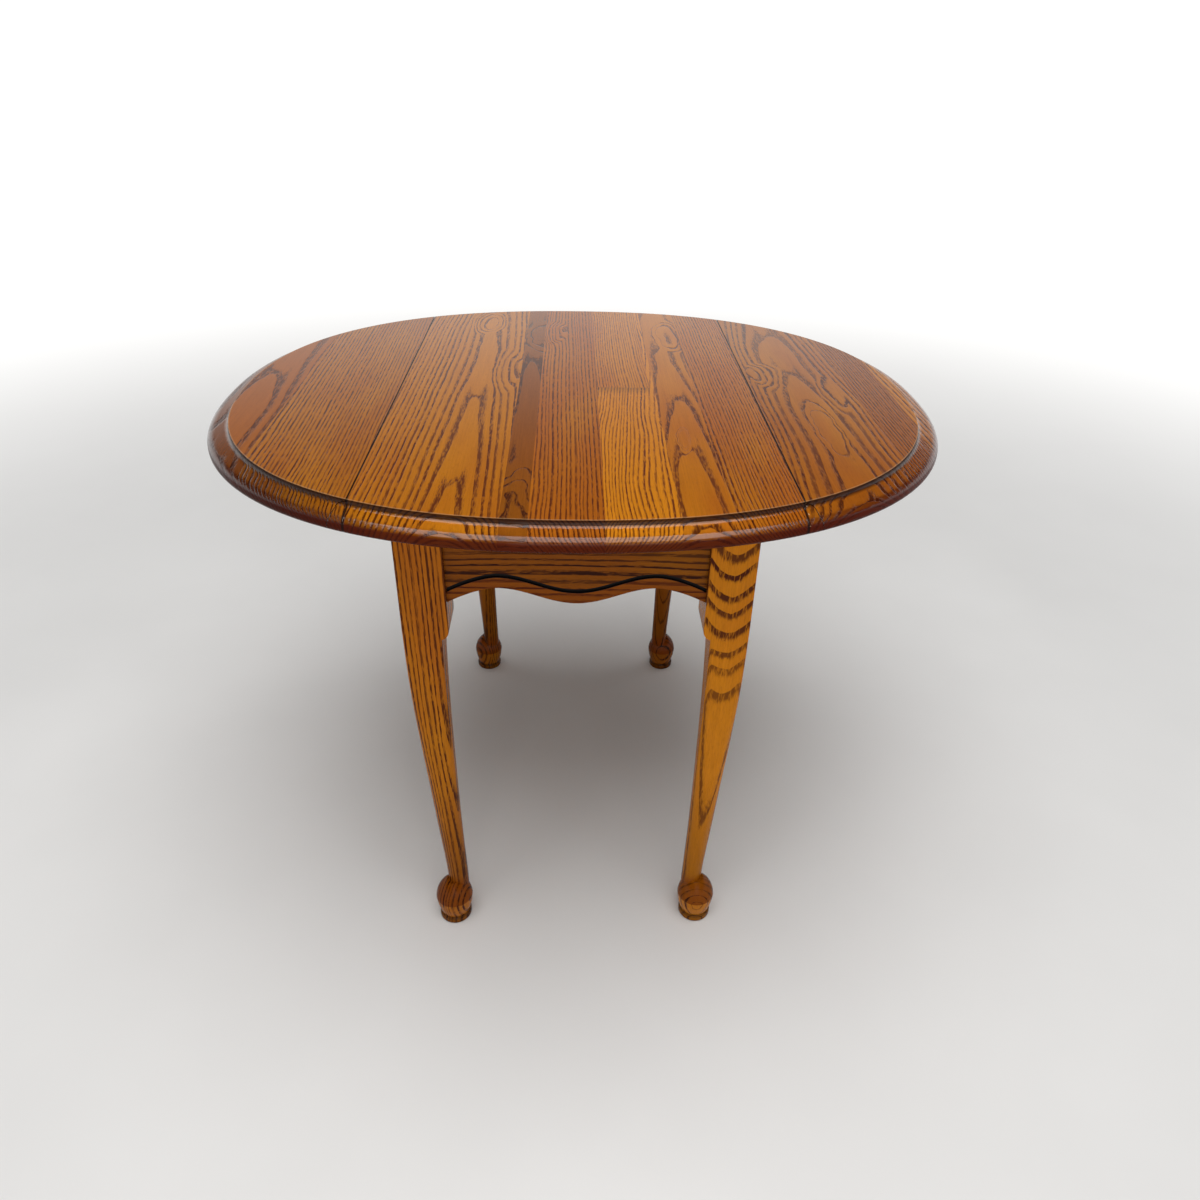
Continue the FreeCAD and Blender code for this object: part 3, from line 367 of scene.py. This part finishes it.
# Depths below the flat where each part of the moulding begins and ends.
STEP = (0.2 * MM, 0.8 * MM)
COVE_SHADE = (2.0 * MM, 6.0 * MM)
COVE_END = (4.0 * MM, 6.4 * MM)
LEDGE_START = (5.4 * MM, 6.4 * MM)
LEDGE_END = (7.0 * MM, 8.0 * MM)
ROLL_START = (7.0 * MM, 8.5 * MM)
ROLL_LOW = (9.5 * MM, 12.5 * MM)
DULL_START = (10.0 * MM, 13.0 * MM)
UNDERSIDE = (20.5 * MM, 20.8 * MM)
MOULDING_EDGE = (0.9970, 0.9985)    # as shares of the flat oval's size

LEDGE_RED = 0.06                    # red glaze above the roll,
ROLL_RED = 0.52                     # on the roll,
ROLL_LOW_SHADE = 0.44                 # painted shade added low on the roll, where it faces down,
LEAF_RED = 0.34                     # and added toward the ends of the leaves
LEAF_RED_X = (150 * MM, 300 * MM)
LEFT_RIM_X = (-300 * MM, -140 * MM)
LEFT_RIM_DARK = 0.42                # the moulding is darker at the left end
MOULDING_PORES = 0.34               # how much darker early wood is on the moulding
# how much lighter the ledge above the roll is made
LEDGE_LIGHTER = 0.20
# black glaze and painted shade in the recessed cove
COVE_GLAZE_AND_SHADE = 0.88

JOINT_SHADE_Y = -24 * MM            # stain darkens from here up to the end joint
JOINT_SHADE = 0.35
SEAM_CORE = 0.5 * MM                # half width of the solid dark line in a seam
SEAM_HALF = 1.25 * MM               # half width with its soft edge
SEAM_SPREAD = 0.7 * MM              # wider by this on the moulding
SEAM_COVER = 0.95
CHIP_X = (HINGE_X + 0.9 * MM, HINGE_X + 2.4 * MM)
CHIP_GRAIN = (200, 200, 350)        # bumps per metre along X, Y and Z
CHIP_LEVEL = (0.04, 0.10)
ARRIS_INNER = (0.9965, 0.9990)      # as shares of the flat oval's size
ARRIS_OUTER = (1.0003, 1.001)
ARRIS_DEPTH = (0.3 * MM, 0.9 * MM)
# strength of the painted highlight along the arris
ARRIS_HIGHLIGHT = 0.28

TOP_ROUGHNESS = 0.15
TOP_IOR = 1.36
DULL_SHINE = 0.07                   # share of the shine left low on the roll and below it
COVE_DULL = (0.92, 0.20)            # shine lost at the top of the cove, and below it
FLAT_SHINE = 0.5
MOULDING_SHINE = 0.5                # added to it on the moulding
MOULDING_RELIEF = 2.0               # extra depth of the pores there


def between(field, low, high):
    """1 where the field is between two limits, else 0."""
    return field.above(low) * (1.0 - field.above(high))


def board_cut(paint):
    """The cut of whichever board a point of the top is in, and its seed."""
    behind = between(paint.x, JOINT_LEFT, JOINT_RIGHT) * paint.y.above(JOINT_Y)
    place = paint.x + behind * JOINT_SHIFT
    limits = [start for start, cut in TOP_BOARDS[1:]]
    cuts = [cut for start, cut in TOP_BOARDS]
    first = paint.steps(place, limits, [cut[:3] for cut in cuts])
    second = paint.steps(place, limits, [cut[3:6] for cut in cuts])
    golds = [(cut.gold, BOARD_SEED_STEP * i, 0.0) for i, cut in enumerate(cuts)]
    third = paint.steps(place, limits, golds)
    return Cut(*first, *second, third[0]), third[1]


def ring_swell(paint):
    """How far the rings are pushed out of line around the eyes and loops."""
    wobble_x = paint.noise(paint.x * WOBBLE_X.across, paint.y * WOBBLE_X.along, 5.0, detail=2)
    wobble_y = paint.noise(paint.x * WOBBLE_Y.across, paint.y * WOBBLE_Y.along, 9.0, detail=2)
    bent_x = paint.x + wobble_x * WOBBLE_X_SIZE
    bent_y = paint.y + wobble_y * WOBBLE_Y_SIZE
    total = 0.0
    for board, x, y, half_width, half_length, height in SWELLS:
        across = (bent_x - x) / half_width
        along = (bent_y - y) / half_length
        push = (across * across + along * along).ramp(0.0, 1.0, height, 0.0)
        mask = between(paint.x, TOP_BOARDS[board][0], TOP_BOARDS[board + 1][0])
        total = push * mask + total
    return total


def inside_oval(paint):
    """1 on the arris between the flat top and its moulding, less inside."""
    run_x = paint.math("POWER", paint.unsigned(paint.x / FLAT_HALF_X), OVAL_POWER)
    run_y = paint.math("POWER", paint.unsigned(paint.y / FLAT_HALF_Y), OVAL_POWER)
    return paint.math("POWER", run_x + run_y, 1.0 / OVAL_POWER)


def shade_end_joint(paint, colour):
    """Stain gathers in front of the end joint in one board."""
    board = between(paint.x, JOINT_LEFT, JOINT_RIGHT)
    shade = board * paint.y.ramp(JOINT_SHADE_Y, JOINT_Y, 0.0, JOINT_SHADE)
    return paint.brighten(colour, 1.0 - shade * (1.0 - paint.y.above(JOINT_Y)))


def stain_and_shade_moulding(paint, colour, early, drop, moulded):
    """A red roll, darker low on it with painted shade, redder at the leaves' ends, a lighter ledge
    and a black cove of glaze and painted shade.
    """
    above_underside = drop.ramp(*UNDERSIDE, 1.0, 0.0)
    # red glaze on the roll, with painted shade added low on it where it faces down
    red = drop.ramp(*ROLL_START, LEDGE_RED, ROLL_RED) + drop.ramp(*ROLL_LOW, 0.0, ROLL_LOW_SHADE)
    red = red + paint.unsigned(paint.x).ramp(*LEAF_RED_X, 0.0, LEAF_RED)
    colour = paint.mix(red * moulded * above_underside, colour, RED_GLAZE_AND_SHADE)
    colour = paint.brighten(colour, 1.0 - moulded * early * MOULDING_PORES)
    left_rim = moulded * paint.x.ramp(*LEFT_RIM_X, LEFT_RIM_DARK, 0.0)
    colour = paint.brighten(colour, 1.0 - left_rim * above_underside)
    # the ledge above the roll is made lighter
    worn = moulded * drop.ramp(*LEDGE_START) * drop.ramp(*LEDGE_END, 1.0, 0.0)
    colour = paint.brighten(colour, worn * LEDGE_LIGHTER + 1.0)
    # black glaze with painted shade in the recessed step and cove
    cove = moulded * drop.ramp(*COVE_END, 1.0, 0.0)
    return paint.mix(cove * COVE_GLAZE_AND_SHADE, colour, BLACK_GLAZE_AND_SHADE)


def draw_seams(paint, colour, moulded):
    """Dark lines along both seams, and chipped moulding beside the right one."""
    away = paint.unsigned(paint.unsigned(paint.x) - HINGE_X)
    line = away.ramp(SEAM_CORE, moulded * SEAM_SPREAD + SEAM_HALF, SEAM_COVER, 0.0)
    colour = paint.mix(line, colour, BLACK_GLAZE_AND_SHADE)
    spots = [field * scale for field, scale in zip((paint.x, paint.y, paint.z), CHIP_GRAIN)]
    bare = paint.noise(*spots, detail=1).ramp(*CHIP_LEVEL)
    return paint.mix(between(paint.x, *CHIP_X) * moulded * bare, colour, BARE_WOOD_AND_HIGHLIGHT)


def paint_arris_highlight(paint, colour, edge, drop):
    """The sharp edge of the flat oval is painted lighter: a painted highlight along the arris."""
    arris = edge.ramp(*ARRIS_INNER) * edge.ramp(*ARRIS_OUTER, 1.0, 0.0)
    arris = arris * drop.ramp(*ARRIS_DEPTH, 1.0, 0.0)
    return paint.mix(arris * ARRIS_HIGHLIGHT, colour, BARE_WOOD_AND_HIGHLIGHT)


def top_wood():
    """The top and both leaves: boards, stained moulding with painted shade, seams, painted
    highlight on the arris.
    """
    paint = Paint("top_wood")
    cut, seed = board_cut(paint)
    swell = ring_swell(paint)
    colour, early = ash(paint, paint.x, paint.y, paint.z - TOP_Z, cut, seed, PORE_SOFT, swell)
    drop = -(paint.z - TOP_Z)
    edge = inside_oval(paint)
    moulded = drop.ramp(*STEP) * edge.ramp(*MOULDING_EDGE)
    colour = shade_end_joint(paint, colour)
    # stain on the moulding, with painted shade low on the roll and in the cove
    colour = stain_and_shade_moulding(paint, colour, early, drop, moulded)
    colour = draw_seams(paint, colour, moulded)
    # painted highlight along the arris
    colour = paint_arris_highlight(paint, colour, edge, drop)
    shine = drop.ramp(*DULL_START, 1.0, DULL_SHINE)
    shine = shine * (1.0 - moulded * drop.ramp(*COVE_SHADE, *COVE_DULL))
    shine = shine * (moulded * MOULDING_SHINE + FLAT_SHINE)
    relief = paint.bump(-early * (moulded * MOULDING_RELIEF + 1.0), PORE_RELIEF)
    return paint.surface(colour, TOP_ROUGHNESS, relief, ior=TOP_IOR, shine=shine)


# ------------------------------------------------------------ legs and aprons

POST_INNER_X = 121.3 * MM
APRON_CORNER_Z = 456.0 * MM
ARCH_X = 75.0 * MM
ARCH_Z = 471.6 * MM
DROP_Z = 454.8 * MM
END_CURVE_POWER = 1.6
GROOVE_RISE = 13.2 * MM
GROOVE_DEEP = 2.0 * MM
BLACK_PAINT = (0.006, 0.005, 0.005)

# Each leg's cut, and the height below which its arches die out.
LEG_CUTS = {
    "leg_front_left": (Cut(-95 * MM, 40 * MM, 0.012, 4.0 * MM, 5 * MM, 0.80, -0.05), 0.0),
    "leg_front_right": (Cut(2 * MM, 40 * MM, -0.200, 4.6 * MM, 4 * MM, 0.90, 0.20), 0.335),
    "leg_rear_left": (Cut(70 * MM, 60 * MM, 0.020, 4.0 * MM, 8 * MM, 0.58, -0.05), 0.0),
    "leg_rear_right": (Cut(-6 * MM, 58 * MM, 0.120, 4.2 * MM, 8 * MM, 0.50, -0.15), 0.0),
}
LEG_IOR = 1.16
SHIN_DARKER = 0.66                   # brightness low on a leg: darker towards the bottom
DARKER_LOW = 40 * MM
DARKER_TOP = 260 * MM
PAD_TOP = 7 * MM                    # the foot, from the floor up
NOTCH_Z = 9.5 * MM
RIM_Z = 33 * MM
DOME_TOP = 52 * MM
SHIN_Z = 72 * MM
CALM = 0.85                         # how much of the taper is lost below the calm height
CALM_SOFT = 2 * MM
RIM_SOFT = 0.6 * MM
NOTCH_SOFT = 1.5 * MM
PAD_SOFT = 0.5 * MM
DOME_RED = 0.50                     # red stain and painted shade on the dome, between its dark lines
WALL_PAINTED_LIGHT = 0.45                   # painted light and shade added or lost on each part of the foot
DOME_SHADE = 0.26
NOTCH_SHADOW = 0.50
PAD_PAINTED_LIGHT = 0.25
INNER_SOFT = 1.2 * MM
INNER_SHADE = 0.85                  # painted shade on the post's inner face beside the end apron
LEG_ROUGHNESS = 0.20
SEED_STEP = 4.7                     # between one leg's noise and the next one's


def leg_wood(name, cut, calm_height, seed):
    """A leg: grain runs up it, about the leg's own middle; painted shade beside the end apron."""
    low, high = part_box(name)
    middle = (low + high) / 2
    paint = Paint(name + "_wood")
    swell = paint.smallest(paint.z - calm_height, 0.0) * (-cut.taper * CALM)
    slope = paint.z.ramp(calm_height - CALM_SOFT, calm_height, cut.taper * (1.0 - CALM), cut.taper)
    colour, early = ash(paint, paint.x - middle.x, paint.z, paint.y - middle.y, cut, seed,
                        swell=swell, slope=slope)
    # darker towards the bottom of the leg
    colour = paint.brighten(colour, paint.z.ramp(DARKER_LOW, DARKER_TOP, SHIN_DARKER, 1.0))
    # painted light and shade on the foot, with red stain on its dome
    colour = paint_foot_light_and_shade(paint, colour, early)
    # painted shade on the post's inner face where it meets the end apron
    inner = paint.unsigned(paint.x).ramp(POST_INNER_X, POST_INNER_X + INNER_SOFT, INNER_SHADE, 0.0)
    colour = paint.mix(inner * paint.z.above(APRON_CORNER_Z), colour, PORE_DARK_AND_SHADE)
    relief = paint.bump(-early, PORE_RELIEF)
    return paint.surface(colour, LEG_ROUGHNESS, relief, ior=LEG_IOR)


def paint_foot_light_and_shade(paint, colour, early):
    """The foot from the floor up, in painted light and shade: a lighter pad, painted shadow in the
    notch, a lighter wall and a darker, redder dome.
    """
    # painted shade on the dome, painted shadow in the notch, painted light on the pad and wall
    dome = paint.z.ramp(RIM_Z, RIM_Z + RIM_SOFT) * paint.z.ramp(DOME_TOP, SHIN_Z, 1.0, 0.0)
    notch = paint.z.ramp(NOTCH_Z, NOTCH_Z + NOTCH_SOFT, 1.0, 0.0)
    pad = paint.z.ramp(PAD_TOP - PAD_SOFT, PAD_TOP, 1.0, 0.0)
    wall = between(paint.z, NOTCH_Z + NOTCH_SOFT, RIM_Z)
    colour = paint.mix(dome * (1.0 - early) * DOME_RED, colour, RED_STAIN)
    light = wall * WALL_PAINTED_LIGHT + 1.0 - dome * DOME_SHADE - notch * NOTCH_SHADOW + pad * PAD_PAINTED_LIGHT
    return paint.brighten(colour, light)


APRON_CUT = Cut(250 * MM, 90 * MM, 0.010, 4.0 * MM, 9 * MM, 0.44, -0.15)
PAINT_HALF = 2.1 * MM               # half height of the black line over the groove
PAINT_SOFT = 0.3 * MM
GROOVE_SPARE = 0.1 * MM             # so that the groove's own floor is painted too
BELOW_GROOVE_RED = 0.16
END_APRON_SEED = 3.1
SIDE_APRON_SEED = 11.4
APRON_ROUGHNESS = 0.24


def shaped_edge(paint):
    """Height of an end apron's shaped lower edge at each x."""
    run = paint.unsigned(paint.x)
    wave = paint.math("COSINE", paint.smallest(run / ARCH_X, 1.0) * math.pi)
    arch = (1.0 - wave) * ((ARCH_Z - DROP_Z) / 2) + DROP_Z
    part = paint.largest(run - ARCH_X, 0.0) / (POST_INNER_X - ARCH_X)
    return arch - paint.math("POWER", part, END_CURVE_POWER) * (ARCH_Z - APRON_CORNER_Z)


def end_apron_wood():
    """Front and rear aprons: grain along X, a black line in the groove, redder below it."""
    outer_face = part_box("apron_rear")[1].y
    paint = Paint("end_apron_wood")
    colour, early = ash(paint, paint.z, paint.x, paint.y, APRON_CUT, END_APRON_SEED)
    rise = paint.z - shaped_edge(paint) - GROOVE_RISE
    red = rise.ramp(-PAINT_HALF, 0.0, BELOW_GROOVE_RED, 0.0)
    colour = paint.mix(red, colour, RED_STAIN)
    outside = paint.unsigned(paint.y).above(outer_face - GROOVE_DEEP - GROOVE_SPARE)
    line = paint.unsigned(rise).ramp(PAINT_HALF, PAINT_HALF + PAINT_SOFT, 1.0, 0.0)
    colour = paint.mix(line * outside, colour, BLACK_PAINT)
    relief = paint.bump(-early, PORE_RELIEF)
    return paint.surface(colour, APRON_ROUGHNESS, relief, ior=LEG_IOR)


def side_apron_wood():
    """Side aprons: grain along Y."""
    paint = Paint("side_apron_wood")
    colour, early = ash(paint, paint.z, paint.y, paint.x, APRON_CUT, SIDE_APRON_SEED)
    relief = paint.bump(-early, PORE_RELIEF)
    return paint.surface(colour, APRON_ROUGHNESS, relief, ior=LEG_IOR)


BLOCK_FIBRE = Grain(300, 18)
BLOCK_CLOUD = 25                    # bumps per metre
BLOCK_CLOUD_LEVEL = (-0.25, 0.25)
BLOCK_BROWN = (0.42, 0.27, 0.14)
BLOCK_PALE = (0.55, 0.38, 0.21)
BLOCK_LIGHT = 0.5                   # how much the streaks change the brightness
BLOCK_ROUGHNESS = 0.62
BLOCK_UNEVEN = 0.2                  # and the roughness
BLOCK_RELIEF = 0.2 * MM


def block_wood():
    """Corner blocks and buttons: plain unstained hardwood, never lacquered."""
    paint = Paint("block_wood")
    fibre = paint.noise(paint.x * BLOCK_FIBRE.across, paint.y * BLOCK_FIBRE.across,
                        paint.z * BLOCK_FIBRE.along, detail=2)
    cloud = paint.noise(paint.x * BLOCK_CLOUD, paint.y * BLOCK_CLOUD,
                        paint.z * BLOCK_CLOUD, detail=2)
    colour = paint.mix(cloud.ramp(*BLOCK_CLOUD_LEVEL), BLOCK_BROWN, BLOCK_PALE)
    colour = paint.brighten(colour, fibre * BLOCK_LIGHT + 1.0)
    relief = paint.bump(fibre, BLOCK_RELIEF)
    return paint.surface(colour, fibre * BLOCK_UNEVEN + BLOCK_ROUGHNESS, relief)


# ------------------------------------------------------------ metal

# Bumps per metre in each kind of mark. The rolling lines run along X.
PLATING_CLOUD = 60
ROLLING_LINES = Grain(2600, 90)
DULL_SPOTS = 420
CLOUD_LEVEL = (-0.2, 0.25)
SPOT_LEVEL = (0.10, 0.24)
SPOT_DARK = 0.35                    # a spot's brightness, as a share of the dull colour
SPOT_COVER = 0.5
LINE_RELIEF = 0.02 * MM
CLOUD_ROUGH = 0.22                  # roughness added by each kind of mark
LINE_ROUGH = 0.16
SPOT_ROUGH = 0.2

# Each finish: its colour, its dull colour and its roughness.
BRASS_PLATE = ((0.62, 0.47, 0.24), (0.42, 0.30, 0.15), 0.36)
ZINC_PLATE = ((0.60, 0.60, 0.58), (0.38, 0.38, 0.38), 0.38)
SCREW_PLATE = ((0.55, 0.54, 0.50), (0.34, 0.33, 0.31), 0.34)


def plated_steel(name, colour, dull, roughness):
    """Plated sheet steel: cloudy plating, fine rolling lines, dull spots."""
    paint = Paint(name)
    cloud = paint.noise(paint.x * PLATING_CLOUD, paint.y * PLATING_CLOUD,
                        paint.z * PLATING_CLOUD, detail=3)
    lines = paint.noise(paint.x * ROLLING_LINES.along, paint.y * ROLLING_LINES.across,
                        paint.z * ROLLING_LINES.across, detail=1)
    spots = paint.noise(paint.x * DULL_SPOTS, paint.y * DULL_SPOTS,
                        paint.z * DULL_SPOTS, detail=2)
    spots = spots.ramp(*SPOT_LEVEL)
    base = paint.mix(cloud.ramp(*CLOUD_LEVEL), colour, dull)
    base = paint.mix(spots * SPOT_COVER, base, tuple(SPOT_DARK * part for part in dull))
    rough = cloud * CLOUD_ROUGH + lines * LINE_ROUGH + spots * SPOT_ROUGH + roughness
    return paint.surface(base, rough, paint.bump(lines, LINE_RELIEF), metallic=1.0)


def dress_nodes():
    """Every CAD node gets its material."""
    dress(top_wood(), "top_center_panel", "leaf_right", "leaf_left")
    for i, (name, (cut, calm_height)) in enumerate(LEG_CUTS.items()):
        dress(leg_wood(name, cut, calm_height, SEED_STEP * i + 1.0), name)
    dress(end_apron_wood(), "apron_front", "apron_rear")
    dress(side_apron_wood(), "apron_left", "apron_right")
    blocks = [name for name in NODES if name.startswith("corner_block_") and "screws" not in name]
    dress(block_wood(), "top_buttons", *blocks)
    brass = plated_steel("hinge_steel", *BRASS_PLATE)
    zinc = plated_steel("stay_steel", *ZINC_PLATE)
    screw = plated_steel("fastener_steel", *SCREW_PLATE)
    for name in NODES:
        if "screws" in name or "bolt" in name:
            dress(screw, name)
        elif name.startswith("hinge_"):
            dress(brass, name)
        elif name.startswith("stay_"):
            dress(zinc, name)


# ------------------------------------------------------------ studio

PALE = (0.90, 0.895, 0.885)
HORIZON = 1.25                          # brightness of the far floor and the low walls
HALL = 0.03                             # and of the hall above the walls
WALL_TOP = (0.20, 0.42)                 # height of a direction at which the walls fade out
FLOOR_HALF = 30.0                       # from its middle to its edge
FLOOR_DARK = (0.80, 0.795, 0.785)
FLOOR_LIGHT = (0.84, 0.835, 0.825)
FLOOR_CLOUD = 3                         # bumps per metre
FLOOR_CLOUD_LEVEL = (-0.3, 0.3)
FLOOR_FADE = (0.7, 3.2)                 # distances over which the floor brightens

# Each softbox: where it is, what it faces, its size, its watts and its colour.
SOFTBOXES = {
    "ceiling_light": ((0.0, -0.5, 3.2), (0.0, 0.0, 0.2), 3.0, 98.0, (1.0, 1.0, 1.0)),
    "front_light": ((0.2, -2.8, 1.5), (0.0, 0.0, 0.35), 1.6, 14.0, (1.0, 0.98, 0.95)),
}


def studio_floor():
    """A wide pale floor that brightens away from the table and meets the horizon."""
    mesh = bpy.data.meshes.new("studio_floor")
    turns = ((-1, -1), (1, -1), (1, 1), (-1, 1))
    corners = [(x * FLOOR_HALF, y * FLOOR_HALF, 0) for x, y in turns]
    mesh.from_pydata(corners, [], [(0, 1, 2, 3)])
    floor = bpy.data.objects.new("studio_floor", mesh)
    bpy.context.scene.collection.objects.link(floor)
    paint = Paint("studio_floor")
    cloud = paint.noise(paint.x * FLOOR_CLOUD, paint.y * FLOOR_CLOUD, 0.0, detail=3)
    colour = paint.mix(cloud.ramp(*FLOOR_CLOUD_LEVEL), FLOOR_DARK, FLOOR_LIGHT)
    away = paint.root(paint.x * paint.x + paint.y * paint.y).ramp(*FLOOR_FADE)
    near = paint.node("ShaderNodeBsdfDiffuse")
    far = paint.node("ShaderNodeEmission")
    both = paint.node("ShaderNodeMixShader")
    end = paint.node("ShaderNodeOutputMaterial")
    paint.feed(near.inputs["Color"], colour)
    paint.feed(far.inputs["Color"], PALE)
    far.inputs["Strength"].default_value = HORIZON
    paint.feed(both.inputs[0], away)
    paint.tree.links.new(near.outputs[0], both.inputs[1])
    paint.tree.links.new(far.outputs[0], both.inputs[2])
    paint.tree.links.new(both.outputs[0], end.inputs["Surface"])
    mesh.materials.append(paint.material)


def studio_world():
    """Pale walls up to a low height all round, and a dim hall above them."""
    world = bpy.data.worlds.new("studio_world")
    bpy.context.scene.world = world
    world.use_nodes = True
    tree = world.node_tree
    tree.nodes.clear()
    place = tree.nodes.new("ShaderNodeTexCoord")
    split = tree.nodes.new("ShaderNodeSeparateXYZ")
    ramp = tree.nodes.new("ShaderNodeMapRange")
    light = tree.nodes.new("ShaderNodeBackground")
    end = tree.nodes.new("ShaderNodeOutputWorld")
    ramp.interpolation_type = "SMOOTHSTEP"
    for socket, value in zip(ramp.inputs[1:5], (*WALL_TOP, HORIZON, HALL)):
        socket.default_value = value
    light.inputs["Color"].default_value = (*PALE, 1.0)
    tree.links.new(place.outputs["Generated"], split.inputs[0])
    tree.links.new(split.outputs["Z"], ramp.inputs[0])
    tree.links.new(ramp.outputs[0], light.inputs["Strength"])
    tree.links.new(light.outputs[0], end.inputs[0])


def soft_light(name, place, target, size, watts, colour):
    """A square softbox that faces the target."""
    lamp = bpy.data.lights.new(name, "AREA")
    lamp.shape = "SQUARE"
    lamp.size = size
    lamp.energy = watts
    lamp.color = colour
    holder = bpy.data.objects.new(name, lamp)
    holder.location = place
    holder.rotation_euler = (Vector(target) - Vector(place)).to_track_quat("-Z", "Y").to_euler()
    bpy.context.scene.collection.objects.link(holder)


def studio_lights():
    """A big softbox overhead and a small warm one in front."""
    for name, (place, target, size, watts, colour) in SOFTBOXES.items():
        soft_light(name, place, target, size, watts, colour)


CAMERA_PLACE = (-0.0031, -0.9809, 0.9114)
CAMERA_PITCH = math.radians(32.40)      # looking down
CAMERA_YAW = math.radians(2.00)         # turned to the right
CAMERA_ROLL = math.radians(1.20)
CAMERA_LENS = 26.96                     # millimetres
SENSOR_WIDTH = 36.0                     # millimetres


def studio_camera():
    """The camera at the photograph's angle, level except for its small roll."""
    data = bpy.data.cameras.new("camera")
    data.lens = CAMERA_LENS
    data.sensor_width = SENSOR_WIDTH
    camera = bpy.data.objects.new("camera", data)
    ahead = Vector((math.sin(CAMERA_YAW) * math.cos(CAMERA_PITCH),
                    math.cos(CAMERA_YAW) * math.cos(CAMERA_PITCH),
                    -math.sin(CAMERA_PITCH)))
    level = Vector((math.cos(CAMERA_YAW), -math.sin(CAMERA_YAW), 0.0))
    upward = level.cross(ahead)
    right = level * math.cos(CAMERA_ROLL) + upward * math.sin(CAMERA_ROLL)
    up = upward * math.cos(CAMERA_ROLL) - level * math.sin(CAMERA_ROLL)
    turn = Matrix((right, up, -ahead)).transposed().to_4x4()
    camera.matrix_world = Matrix.Translation(CAMERA_PLACE) @ turn
    bpy.context.scene.collection.objects.link(camera)
    bpy.context.scene.camera = camera


dress_nodes()
studio_floor()
studio_world()
studio_lights()
studio_camera()
bpy.context.scene.view_settings.view_transform = "Standard"
